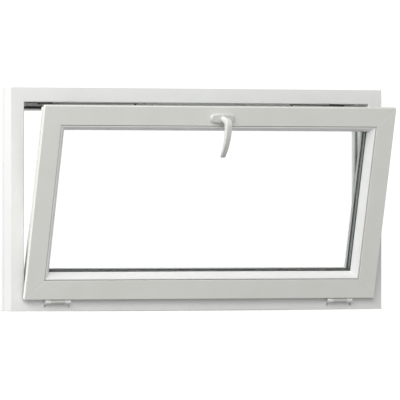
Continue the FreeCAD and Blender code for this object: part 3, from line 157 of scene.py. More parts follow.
class Shader:
    """A material with one Principled shader, made node by node."""

    def __init__(self, name: str) -> None:
        """Starts an empty material.

        Args:
            name: the material's name.
        """
        self.material = bpy.data.materials.new(name)
        self.material.use_nodes = True
        self.tree = self.material.node_tree
        self.tree.nodes.clear()
        self.surface = self.node("ShaderNodeBsdfPrincipled", {}, {})
        self.node("ShaderNodeOutputMaterial", {}, {"Surface": self.surface.outputs[0]})

    def node(
        self,
        kind: str,
        settings: dict[str, object],
        values: dict[str | int, object],
    ) -> bpy.types.Node:
        """Adds a node.

        Args:
            kind: the node's type name.
            settings: attributes, set before the inputs; a ramp's stops are "stops".
            values: a number, colour, socket or expression for each input.

        Returns:
            The node.
        """
        made = self.tree.nodes.new(kind)
        for key, value in settings.items():
            if key == "stops":
                self.set_stops(made, value)
            else:
                setattr(made, key, value)
        for key, value in values.items():
            source = value.socket if isinstance(value, Expression) else value
            if isinstance(source, bpy.types.NodeSocket):
                self.tree.links.new(source, made.inputs[key])
            else:
                made.inputs[key].default_value = source
        return made

    @staticmethod
    def set_stops(ramp: bpy.types.Node, stops: Sequence[tuple[float, tuple[float, ...]]]) -> None:
        """Gives a colour ramp its stops.

        Args:
            ramp: the ramp node.
            stops: (position, colour) pairs from left to right.
        """
        elements = ramp.color_ramp.elements
        while len(elements) < len(stops):
            elements.new(1.0)
        for element, (position, colour) in zip(elements, stops):
            element.position, element.color = position, colour

    def place(self, pose: Matrix | None = None) -> Socket:
        """Object coordinates in metres, taken back through a pose so that they lie along the piece.

        Args:
            pose: where the piece's own frame stands in the row frame.

        Returns:
            The vector socket.
        """
        socket = self.node("ShaderNodeTexCoord", {}, {}).outputs["Object"]
        if pose is None:
            return socket
        back = pose.inverted()
        values = {"Vector": socket, "Location": back.to_translation(), "Rotation": back.to_euler()}
        return self.node("ShaderNodeMapping", {"vector_type": "POINT"}, values).outputs[0]

    def stretched(self, place: Socket, scale: tuple[float, float, float]) -> Socket:
        """Coordinates multiplied by a scale along each axis."""
        values = {0: place, 1: scale}
        return self.node("ShaderNodeVectorMath", {"operation": "MULTIPLY"}, values).outputs[0]

    def noise(self, place: Socket, scale: float, detail: float = 2.0) -> Expression:
        """Soft noise between 0 and 1.

        Args:
            place: coordinates.
            scale: how many blobs fit in a metre of those coordinates.
            detail: octaves.

        Returns:
            The noise.
        """
        values = {"Vector": place, "Scale": scale, "Detail": detail}
        return Expression(self, self.node("ShaderNodeTexNoise", {}, values).outputs[0])

    def axes(self, place: Socket) -> tuple[Expression, Expression, Expression]:
        """The three coordinates as numbers."""
        split = self.node("ShaderNodeSeparateXYZ", {}, {0: place})
        return tuple(Expression(self, output) for output in split.outputs)

    def blend(self, share: Expression, first: tuple[float, ...], second: tuple[float, ...]) -> Socket:
        """A colour between two colours.

        Args:
            share: 0 gives the first and 1 the second.
            first: red, green, blue.
            second: red, green, blue.

        Returns:
            The colour socket.
        """
        values = {"Factor": share, 6: (*first, 1.0), 7: (*second, 1.0)}
        return self.node("ShaderNodeMix", {"data_type": "RGBA"}, values).outputs[2]

    def bump(self, height: Expression, distance: float, strength: float = 1.0) -> None:
        """Raises the surface by a height in units of a distance in metres."""
        values = {"Height": height, "Distance": distance, "Strength": strength}
        self.link("Normal", self.node("ShaderNodeBump", {}, values).outputs[0])

    def link(self, name: str, value: Expression | Socket) -> None:
        """Feeds one of the shader's sockets."""
        source = value.socket if isinstance(value, Expression) else value
        self.tree.links.new(source, self.surface.inputs[name])

    def fix(self, name: str, value: float | tuple[float, ...]) -> None:
        """Sets one of the shader's sockets to a value that holds all over."""
        self.surface.inputs[name].default_value = value


# ---------------------------------------------------------------- finishes
class Run(Enum):
    """Which way a bar was drawn through its die; the value scales noise to streaks along it, per metre."""

    ACROSS = (2.0, 900.0, 900.0)
    UPRIGHT = (900.0, 900.0, 2.0)


@dataclass(frozen=True)
class ExtrudedPlastic:
    """Satin white plastic drawn through a die: faint long streaks, a trace of cloudiness, tiny scuffs."""

    name: str
    run: Run
    pose: Matrix | None = None
    colour: tuple[float, float, float] = (0.82, 0.828, 0.812)
    shade: tuple[float, float, float] = (0.8, 0.808, 0.79)
    roughness: float = 0.30

    def material(self) -> bpy.types.Material:
        """Builds the material."""
        shader = Shader(self.name)
        place = shader.place(self.pose)
        cloud = shader.noise(place, scale=9.0, detail=3.0)
        streak = shader.noise(shader.stretched(place, self.run.value), scale=1.0, detail=1.0)
        scuff = shader.noise(place, scale=420.0, detail=4.0).ramp(low=0.62, high=0.74)
        shader.link("Base Color", shader.blend(cloud.ramp(low=0.35, high=0.7), self.colour, self.shade))
        shader.link("Roughness", self.roughness + cloud * 0.06 + streak * 0.05 + scuff * 0.05)
        shader.bump(streak, distance=0.000012, strength=0.3)
        shader.fix("Specular IOR Level", 0.45)
        return shader.material


@dataclass(frozen=True)
class PowderCoat:
    """White stoved powder: orange-peel ripple and an even satin sheen."""

    name: str
    colour: tuple[float, float, float] = (0.84, 0.845, 0.84)
    shade: tuple[float, float, float] = (0.81, 0.815, 0.81)
    roughness: float = 0.26

    def material(self) -> bpy.types.Material:
        """Builds the material."""
        shader = Shader(self.name)
        place = shader.place()
        peel = shader.noise(place, scale=700.0, detail=1.0)
        cloud = shader.noise(place, scale=30.0, detail=2.0)
        shader.link("Base Color", shader.blend(cloud, self.colour, self.shade))
        shader.link("Roughness", self.roughness + cloud * 0.08)
        shader.bump(peel, distance=0.00005, strength=0.3)
        return shader.material


@dataclass(frozen=True)
class Rubber:
    """Matt black seal: soft bloom in patches over a fine grain."""

    name: str
    colour: tuple[float, float, float] = (0.018, 0.019, 0.019)
    bloom: tuple[float, float, float] = (0.05, 0.052, 0.052)
    roughness: float = 0.55

    def material(self) -> bpy.types.Material:
        """Builds the material."""
        shader = Shader(self.name)
        place = shader.place()
        patch = shader.noise(place, scale=40.0, detail=3.0).ramp(low=0.45, high=0.75)
        grain = shader.noise(place, scale=2500.0, detail=1.0)
        shader.link("Base Color", shader.blend(patch, self.colour, self.bloom))
        shader.link("Roughness", self.roughness + patch * 0.2)
        shader.bump(grain, distance=0.00004, strength=0.5)
        return shader.material


@dataclass(frozen=True)
class Metal:
    """Plated or bare metal: cloudy plating, fine drawing lines along X and darker spots at random."""

    name: str
    colour: tuple[float, float, float] = (0.62, 0.62, 0.60)
    shade: tuple[float, float, float] = (0.45, 0.45, 0.43)
    roughness: float = 0.34
    spangle: float = 0.0

    def material(self) -> bpy.types.Material:
        """Builds the material."""
        shader = Shader(self.name)
        place = shader.place()
        cloud = shader.noise(place, scale=60.0, detail=3.0)
        lines = shader.noise(shader.stretched(place, (60.0, 4000.0, 4000.0)), scale=1.0, detail=1.0)
        tint = cloud.ramp(low=0.3, high=0.75)
        if self.spangle:
            cells = shader.node("ShaderNodeTexVoronoi", {}, {"Vector": place, "Scale": self.spangle})
            tint = shader.axes(cells.outputs["Color"])[0] * 0.6 + tint * 0.4
        shader.link("Base Color", shader.blend(tint, self.colour, self.shade))
        shader.link("Roughness", self.roughness + tint * 0.14)
        shader.bump(lines, distance=0.00002, strength=0.4)
        shader.fix("Metallic", 1.0)
        return shader.material


@dataclass(frozen=True)
class ClearGlass:
    """Float glass with its faint green body and a breath of dust that roughens it in patches."""

    name: str
    colour: tuple[float, float, float] = (0.985, 0.995, 0.99)
    dusty: tuple[float, float, float] = (0.975, 0.985, 0.98)

    def material(self) -> bpy.types.Material:
        """Builds the material."""
        shader = Shader(self.name)
        place = shader.place()
        dust = shader.noise(place, scale=6.0, detail=4.0).ramp(low=0.5, high=0.8)
        shader.link("Base Color", shader.blend(dust, self.colour, self.dusty))
        shader.link("Roughness", dust * 0.012)
        shader.fix("Transmission Weight", 1.0)
        shader.fix("IOR", 1.5)
        return shader.material


@dataclass(frozen=True)
class Moulding:
    """Moulded or cast matter without a drawing direction: packers and sealant."""

    name: str
    colour: tuple[float, float, float]
    shade: tuple[float, float, float]
    roughness: float = 0.5

    def material(self) -> bpy.types.Material:
        """Builds the material."""
        shader = Shader(self.name)
        place = shader.place()
        cloud = shader.noise(place, scale=90.0, detail=3.0)
        shader.link("Base Color", shader.blend(cloud, self.colour, self.shade))
        shader.link("Roughness", self.roughness + cloud * 0.12)
        shader.bump(shader.noise(place, scale=1200.0, detail=2.0), distance=0.00005, strength=0.4)
        return shader.material


@dataclass(frozen=True)
class PerforatedBar:
    """Grey aluminium spacer with a row of small breathing holes along its inner face."""

    name: str
    pose: Matrix
    colour: tuple[float, float, float] = (0.34, 0.37, 0.36)
    shade: tuple[float, float, float] = (0.26, 0.29, 0.28)
    pitch: float = 0.0025
    middle: float = 0.0

    def material(self) -> bpy.types.Material:
        """Builds the material: a hole lies where both the distance along and across the bar are small; it is
        painted darker, as painted shade inside it.
        """
        shader = Shader(self.name)
        place = shader.place(self.pose)
        x, y, z = shader.axes(place)
        along = abs(((x + z) * (1 / self.pitch)).fraction() - 0.5) * self.pitch
        across = abs(y - self.middle)
        hole = along.ramp(low=0.0005, high=0.0003) * across.ramp(low=0.0007, high=0.0004)
        cloud = shader.noise(place, scale=50.0, detail=2.0)
        # Painted shade: the holes are only a bump, so they are painted darker towards the shade colour.
        tint = cloud * 0.5 + hole * 0.5
        shader.link("Base Color", shader.blend(tint, self.colour, self.shade))
        shader.link("Roughness", 0.42 + cloud * 0.1)
        shader.bump(1.0 - hole, distance=0.0002, strength=0.8)
        shader.fix("Metallic", 0.6)
        return shader.material


# ---------------------------------------------------------------- shapes
@dataclass(frozen=True)
class Shape:
    """Vertices in millimetres and the faces that join them."""

    points: np.ndarray
    faces: list[tuple[int, ...]]

    def moved(self, x: float = 0.0, y: float = 0.0, z: float = 0.0) -> "Shape":
        """The same shape somewhere else."""
        return Shape(self.points + np.array((x, y, z)), self.faces)


def together(shapes: Sequence[Shape]) -> Shape:
    """Several shapes as one.

    Args:
        shapes: the shapes.

    Returns:
        One shape, its faces renumbered by the count of the points before them.
    """
    starts = np.cumsum([0, *(len(shape.points) for shape in shapes[:-1])])
    faces = [
        tuple(start + index for index in face)
        for start, shape in zip(starts, shapes)
        for face in shape.faces
    ]
    return Shape(np.concatenate([shape.points for shape in shapes]), faces)


def grid_faces(rows: int, columns: int, closed_rows: bool = False) -> list[tuple]:
    """Quads of a grid whose point (i, j) has index i * columns + j and whose last column joins the first.

    Args:
        rows: number of points one way.
        columns: number of points the other way.
        closed_rows: whether the last row joins the first.

    Returns:
        The quads: each cell's four corners, the neighbours being taken modulo the grid's size.
    """
    i, j = np.meshgrid(np.arange(rows if closed_rows else rows - 1), np.arange(columns), indexing="ij")
    down, right = (i + 1) % rows, (j + 1) % columns
    cells = np.stack([i * columns + j, i * columns + right, down * columns + right, down * columns + j], -1)
    return [tuple(cell) for cell in cells.reshape(-1, 4).tolist()]


def quadratic(first: np.ndarray, middle: np.ndarray, last: np.ndarray, share: np.ndarray) -> np.ndarray:
    """Points of the quadratic curve with three control points, at shares between 0 and 1 of its parameter."""
    return (1 - share) ** 2 * first + 2 * share * (1 - share) * middle + share**2 * last


def rounded(outline: Sequence[tuple[float, ...]], steps: int = 5, support: float = 0.3) -> Loop:
    """Rounds a closed outline's corners.

    Each corner with a radius becomes the quadratic curve from the point where a circle of that radius would
    leave one edge to the point where it would meet the other, with the corner as its middle control point.
    A support point just outside each end keeps the flats flat when the shading is smooth.

    Args:
        outline: (depth, inward) or (depth, inward, radius) for each corner.
        steps: segments in each rounded corner.
        support: distance of the support points.

    Returns:
        The points, one row each.
    """
    corner = np.array([point[:2] for point in outline], float)
    radius = np.array([point[2] if len(point) > 2 else 0.0 for point in outline], float)
    ways = [np.roll(corner, shift, 0) - corner for shift in (1, -1)]
    ways = [way / np.linalg.norm(way, axis=1, keepdims=True) for way in ways]
    half_angle = np.arccos(np.clip((ways[0] * ways[1]).sum(1), -1, 1)) / 2
    reach = (radius / np.tan(half_angle))[:, None]
    spare = np.where(radius > 0, support, 0.0)[:, None]
    share = np.linspace(0, 1, steps + 1)[None, :, None]
    start, end = (corner + way * reach for way in ways)
    curve = quadratic(start[:, None], corner[:, None], end[:, None], share)
    outer = [(point + way * spare)[:, None] for point, way in zip((start, end), ways)]
    points = np.concatenate([outer[0], curve, outer[1]], 1).reshape(-1, 2)
    apart = np.linalg.norm(points - np.roll(points, 1, 0), axis=1) > 1e-6
    return points[apart]


def outward(loop: Loop) -> Loop:
    """Unit normals at a loop's points: the mean of the right-hand normals of the edges that meet there."""
    edge = np.roll(loop, -1, 0) - loop
    normal = np.stack([edge[:, 1], -edge[:, 0]], 1)
    normal /= np.linalg.norm(normal, axis=1, keepdims=True)
    mean = normal + np.roll(normal, 1, 0)
    return mean / np.maximum(np.linalg.norm(mean, axis=1, keepdims=True), 1e-9)


@dataclass(frozen=True)
class Section:
    """Cross-section of a bar: its outline and the chambers inside it, as (depth, inward) points."""

    outline: Loop
    chambers: tuple[Loop, ...] = ()

    def bar(self, length: float, joint_width: float = 0.0, joint_depth: float = 0.0) -> Shape:
        """Carries the section along X between two mitres.

        A point at inward distance w ends at half the length less w, so both ends lie at 45 degrees. The last
        millimetres of the outline step inwards along its normals, which leaves a groove at the joint.

        Args:
            length: the bar's length along its outer edge.
            joint_width: how far the joint's groove reaches along the bar.
            joint_depth: the groove's depth.

        Returns:
            The bar, drawn with its outer edge along the X axis and its middle at the origin.
        """
        stations = JOINT_STATIONS if joint_depth else ((0.0, 0.0),)
        pulls = np.array([pull * joint_width for pull, _ in stations])
        insets = np.array([inset * joint_depth for _, inset in stations])
        parts, rims = [], ([], [])
        start = 0
        for index, loop in enumerate((self.outline, *self.chambers)):
            inset = insets if index == 0 else insets * 0
            section = loop[None] - outward(loop)[None] * inset[:, None, None]
            reach = length / 2 - section[:, :, 1] - pulls[:, None]
            left = np.concatenate([-reach[:, :, None], section], 2)
            right = np.concatenate([reach[:, :, None], section], 2)[::-1]
            grid = np.concatenate([left, right])
            parts.append(Shape(grid.reshape(-1, 3), grid_faces(len(grid), len(loop))))
            rims[0].append(start + np.arange(len(loop)))
            rims[1].append(start + (len(grid) - 1) * len(loop) + np.arange(len(loop)))
            start += len(grid) * len(loop)
        shape = together(parts)
        caps = []
        for rim in rims:
            loops = [[Vector((0.0, *shape.points[i, 1:])) for i in ring] for ring in rim]
            flat = np.concatenate(rim)
            caps += [tuple(int(flat[i]) for i in triangle) for triangle in tessellate_polygon(loops)]
        return Shape(shape.points, shape.faces + caps)

    def ring(self, width: float, height: float) -> Shape:
        """Carries the outline round a rectangle that stands on the X axis.

        The outline's point at inward distance w follows a rectangle smaller by w on every side.

        Args:
            width: the rectangle's width.
            height: the rectangle's height.

        Returns:
            The closed ring.
        """
        depth, inward = self.outline[:, 0], self.outline[:, 1]
        half = width / 2 - inward
        low, high = inward, height - inward
        corners = ((-half, low), (half, low), (half, high), (-half, high))
        grid = np.stack([np.stack([x, depth, z], 1) for x, z in corners])
        return Shape(grid.reshape(-1, 3), grid_faces(4, len(depth), closed_rows=True))


def box_shape(low: Sequence[float], high: Sequence[float]) -> Shape:
    """A box between two corners, for cutting."""
    corners = np.array(np.meshgrid(*zip(low, high), indexing="ij")).reshape(3, -1).T
    faces = [(0, 1, 3, 2), (4, 6, 7, 5), (0, 4, 5, 1), (2, 3, 7, 6), (0, 2, 6, 4), (1, 5, 7, 3)]
    return Shape(corners, faces)


class Along(Enum):
    """The axis that a turned shape lies on, as the order in which (along, first, second) become X, Y, Z."""

    X = (0, 1, 2)
    Y = (1, 0, 2)
    Z = (1, 2, 0)


def turned(profile: Sequence[tuple[float, ...]], axis: Along, steps: int = 40) -> Shape:
    """Turns a profile round an axis through the origin.

    A point (t, r) of the profile becomes a circle of radius r at distance t along the axis.

    Args:
        profile: (along, radius) or (along, radius, rounding) corners of an outline on one side of the axis.
        axis: the axis.
        steps: points in each circle.

    Returns:
        The turned shape; a radius of 0 closes into a pole.
    """
    outline = rounded(profile, **FINE)
    angle = np.linspace(0, 2 * math.pi, steps, endpoint=False)
    along = np.repeat(outline[:, :1], steps, 1)
    first = outline[:, 1:] * np.cos(angle)
    second = outline[:, 1:] * np.sin(angle)
    place = np.stack([along, first, second], -1)[..., list(axis.value)]
    return Shape(place.reshape(-1, 3), grid_faces(len(outline), steps, closed_rows=True))


def prism(outline: Sequence[tuple[float, ...]], low: float, high: float, axis: Along) -> Shape:
    """Pushes a closed outline along an axis.

    Args:
        outline: (first, second) or (first, second, rounding) corners, in the two other axes' own order.
        low: where the prism starts.
        high: where it ends.
        axis: the axis.

    Returns:
        The prism with flat ends.
    """
    loop = rounded(outline, **FINE)
    ends = [np.column_stack([np.full(len(loop), end), loop]) for end in (low, high)]
    points = np.stack(ends)[..., list(axis.value)].reshape(-1, 3)
    count = len(loop)
    caps = [tuple(range(count)), tuple(range(2 * count - 1, count - 1, -1))]
    return Shape(points, grid_faces(2, count) + caps)


# ---------------------------------------------------------------- pieces
def to_mesh(name: str, shape: Shape, pose: Matrix, smooth: float) -> bpy.types.Object:
    """Makes a Blender object at the origin from a shape.

    Args:
        name: the object's name.
        shape: the shape, in millimetres.
        pose: where the shape's own frame stands in the row frame, in metres.
        smooth: edges sharper than this angle, in degrees, stay sharp.

    Returns:
        The object.
    """
    turn, shift = np.array(pose.to_3x3()), np.array(pose.to_translation())
    points = shape.points * MM @ turn.T + shift
    mesh = bpy.data.meshes.new(name)
    mesh.from_pydata(points.tolist(), [], shape.faces)
    tidy = bmesh.new()
    tidy.from_mesh(mesh)
    bmesh.ops.remove_doubles(tidy, verts=tidy.verts, dist=MERGE)
    bmesh.ops.recalc_face_normals(tidy, faces=tidy.faces)
    tidy.to_mesh(mesh)
    tidy.free()
    mesh.shade_smooth()
    mesh.set_sharp_from_angle(angle=math.radians(smooth))
    thing = bpy.data.objects.new(name, mesh)
    bpy.context.scene.collection.objects.link(thing)
    return thing


def carve(thing: bpy.types.Object, cutter: Shape, pose: Matrix) -> None:
    """Cuts a shape out of an object.

    Args:
        thing: the object, which keeps its name and place.
        cutter: what to cut away, in millimetres.
        pose: where the cutter's own frame stands, in metres.
    """
    tool = to_mesh("cutter", cutter, pose, 30.0)
    cut = thing.modifiers.new("cut", "BOOLEAN")
    cut.operation, cut.solver, cut.object = "DIFFERENCE", "MANIFOLD", tool
    graph = bpy.context.evaluated_depsgraph_get()
    result = bpy.data.meshes.new_from_object(thing.evaluated_get(graph))
    thing.modifiers.clear()
    thing.data = result
    bpy.data.objects.remove(tool)


@dataclass
class Workshop:
    """Puts pieces on their bodies and gives them their finishes."""

    nodes: dict[str, bpy.types.Object]

    def add(
        self,
        name: str,
        shape: Shape,
        pose: Matrix,
        body: str,
        stands_for: Sequence[str],
        slot: str,
        material: bpy.types.Material,
        smooth: float = SOFT_ANGLE,
        cuts: Sequence[tuple[Shape, Matrix]] = (),
    ) -> None:
        """Makes a piece.

        Args:
            name: the piece's name.
            shape: its shape in its own frame.
            pose: where that frame stands.
            body: the body it moves with.
            stands_for: the CAD nodes that it replaces.
            slot: the record's material slot; not used.
            material: its finish.
            smooth: the angle at which an edge turns sharp, in degrees.
            cuts: shapes to cut out of it, each with its pose.
        """
        thing = to_mesh(name, shape, pose, smooth)
        if cuts:
            for cutter, cutter_pose in cuts:
                carve(thing, cutter, cutter_pose)
            thing.data.name = name
            thing.data.set_sharp_from_angle(angle=math.radians(smooth))
        thing.data.materials.clear()
        thing.data.materials.append(material)
        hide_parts(*stands_for)
        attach(thing, body)
        LOG.info("%s: %d faces on %s", name, len(thing.data.polygons), body)

    def dress(self, names: Sequence[str], material: bpy.types.Material) -> None:
        """Gives CAD nodes that keep their shape a better finish.

        Args:
            names: the nodes.
            material: the finish.
        """
        for name in names:
            node = self.nodes[name]
            node.data.materials.clear()
            node.data.materials.append(material)
            LOG.info("%s keeps its shape", name)


# ---------------------------------------------------------------- the window's own frames
@dataclass(frozen=True)
class Poses:
    """Where each group's own frame stands at rest, in metres."""

    frame: Matrix
    sash: Matrix
    sash_top: Matrix
    handle: Matrix


@dataclass(frozen=True)
class WindowSizes:
    """Lengths shared by the groups."""

    width: float = 1200.0
    height: float = 650.0
    depth: float = 70.0
    sash_inset: float = 35.0
    sash_proud: float = 18.0
    lip: float = 20.0
    spindle_z: float = -33.0
    hinge_axis: tuple[float, float] = (-11.0, 27.0)
    hinge_spread: float = 912.0

    @property
    def sash_width(self) -> float:
        """The sash's overall width."""
        return self.width - 2 * self.sash_inset

    @property
    def sash_height(self) -> float:
        """The sash's overall height."""
        return self.height - 2 * self.sash_inset

    def poses(self, record: dict) -> Poses:
        """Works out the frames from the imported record's joint between frame and sash.

        Args:
            record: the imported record.

        Returns:
            The poses: the sash's is the frame's turned about the hinge axis by the whole range of its joint.
        """
        tilt = next(joint for joint in record["behaviour"]["joints"] if joint["name"] == "sash_tilt")
        axis = Vector(tilt["pos_m"])
        lean = Matrix.Rotation(math.radians(-tilt["range_deg"][0]), 4, "X")
        frame = shift(y=-self.depth / 2)
        sash = Matrix.Translation(axis) @ lean @ Matrix.Translation(-axis) @ frame
        sash_top = sash @ shift(z=self.height - self.sash_inset)
        handle = sash_top @ shift(y=-self.sash_proud, z=self.spindle_z)
        return Poses(frame, sash, sash_top, handle)


def shift(x: float = 0.0, y: float = 0.0, z: float = 0.0) -> Matrix:
    """A move by millimetres, as a matrix in metres."""
    return Matrix.Translation((x * MM, y * MM, z * MM))


class Side(Enum):
    """A side of the window: how far round the bar is turned, and which way from the middle it lies."""

    BOTTOM = (0, 0.0, 0.0)
    TOP = (180, 0.0, 1.0)
    LEFT = (90, -0.5, 0.5)
    RIGHT = (-90, 0.5, 0.5)

    def pose(self, width: float, height: float) -> Matrix:
        """Places a bar drawn along X on this side of a rectangle that stands on the X axis."""
        angle, across, up = self.value
        return shift(across * width, 0, up * height) @ Matrix.Rotation(math.radians(angle), 4, "Y")

    def length(self, width: float, height: float) -> float:
        """The length of this side of a rectangle."""
        return width if self in (Side.BOTTOM, Side.TOP) else height

    @property
    def run(self) -> Run:
        """The way this side's bar was drawn."""
        return Run.ACROSS if self in (Side.BOTTOM, Side.TOP) else Run.UPRIGHT


def rectangle(low: tuple[float, float], high: tuple[float, float], rounding: float = 0.0) -> list[tuple]:
    """Corners of a rectangle, anticlockwise."""
    return [(*low, rounding), (high[0], low[1], rounding), (*high, rounding), (low[0], high[1], rounding)]


def bowed(start: tuple[float, float], end: tuple[float, float], rise: float, steps: int = 8) -> list[tuple]:
    """Points between two points on the parabola that rises to the right of the way from start to end.

    Args:
        start: first point, which is left out.
        end: last point, which is left out.
        rise: height of the parabola at its middle.
        steps: segments.

    Returns:
        The points in between.
    """
    share = np.linspace(0, 1, steps + 1)[1:-1, None]
    chord = np.subtract(end, start)
    side = np.array((chord[1], -chord[0])) / np.linalg.norm(chord)
    points = np.array(start) + chord * share + side * rise * 4 * share * (1 - share)
    return [tuple(point) for point in points.tolist()]


# ---------------------------------------------------------------- frame
@dataclass
class FixedFrame:
    """Four welded bars of the fixed frame and the seal on their outside leg."""

    shop: Workshop
    sizes: WindowSizes
    poses: Poses
    face: float = 43.0
    leg: tuple[float, float] = (56.0, 67.0)
    clip_groove: tuple[float, float, float] = (49.0, 52.5, 4.0)
    wall: float = 3.0
    ribs: tuple[tuple[float, float], ...] = ((14.0, 16.0), (38.0, 40.0))
    seal_span: tuple[float, float] = (54.2, 61.8)
    seal_gap: float = 0.45
    edge: float = 3.2
    joint: tuple[float, float] = (1.1, 0.32)
    names: tuple[tuple[Side, str], ...] = (
        (Side.TOP, "frame_head"),
        (Side.BOTTOM, "frame_sill"),
        (Side.LEFT, "frame_jamb_left"),
        (Side.RIGHT, "frame_jamb_right"),
    )

    def section(self) -> Section:
        """Angle-shaped section: a face, a rebate floor and an outside leg, over four chambers."""
        groove, groove_end, sunk = self.clip_groove
        depth, wall = self.sizes.depth, self.wall
        leg_front, leg_top = self.leg
        outline = [
            (0, 0, 0.8),
            (groove, 0),
            (groove, sunk),
            (groove_end, sunk),
            (groove_end, 0),
            (depth, 0, 0.8),
            (depth, leg_top, self.edge),
            (leg_front, leg_top, 1.0),
            (leg_front, self.face, 1.0),
            (0, self.face, self.edge),
        ]
        top = self.face - wall
        (rib, rib_end), (second, second_end) = self.ribs
        rooms = (
            ((wall, wall), (rib, top)),
            ((rib_end, wall), (second, top)),
            ((second_end, sunk + wall), (depth - wall, top)),
            ((leg_front + wall, self.face), (depth - wall, leg_top - wall)),
        )
        chambers = tuple(rounded(rectangle(low, high, 0.6), steps=2) for low, high in rooms)
        return Section(rounded(outline), chambers)

    def seal(self) -> Section:
        """Hollow-looking bulb that the sash's back presses on, with a foot in the leg."""
        front, leg_front = self.sizes.depth - self.sizes.sash_proud + self.seal_gap, self.leg[0]
        low, high = self.seal_span
        middle, root = (low + high) / 2, leg_front - 0.05
        outline = [
            (root, low + 0.6),
            (root, high - 0.6),
            (leg_front - 1.4, high, 0.6),
            (front + 0.8, middle + 2.6, 1.2),
            (front, middle, 1.2),
            (front + 0.8, middle - 2.6, 1.2),
            (leg_front - 1.4, low, 0.6),
        ]
        return Section(rounded(outline, support=0.1))

    def build(self, rubber: bpy.types.Material) -> None:
        """Makes the bars and the seal.

        Args:
            rubber: the seal's finish.
        """
        width, height = self.sizes.width, self.sizes.height
        finishes = {run: ExtrudedPlastic(f"frame_plastic_{run.name.lower()}", run).material() for run in Run}
        for side, node in self.names:
            bar = self.section().bar(side.length(width, height), *self.joint)
            pose = self.poses.frame @ side.pose(width, height)
            self.shop.add(f"{node}_bar", bar, pose, "frame", [node], "white_pvc", finishes[side.run])
        ring = self.seal().ring(width, height)
        pose = self.poses.frame
        self.shop.add("frame_gasket_bulb", ring, pose, "frame", ["frame_gasket"], "black_seal", rubber)


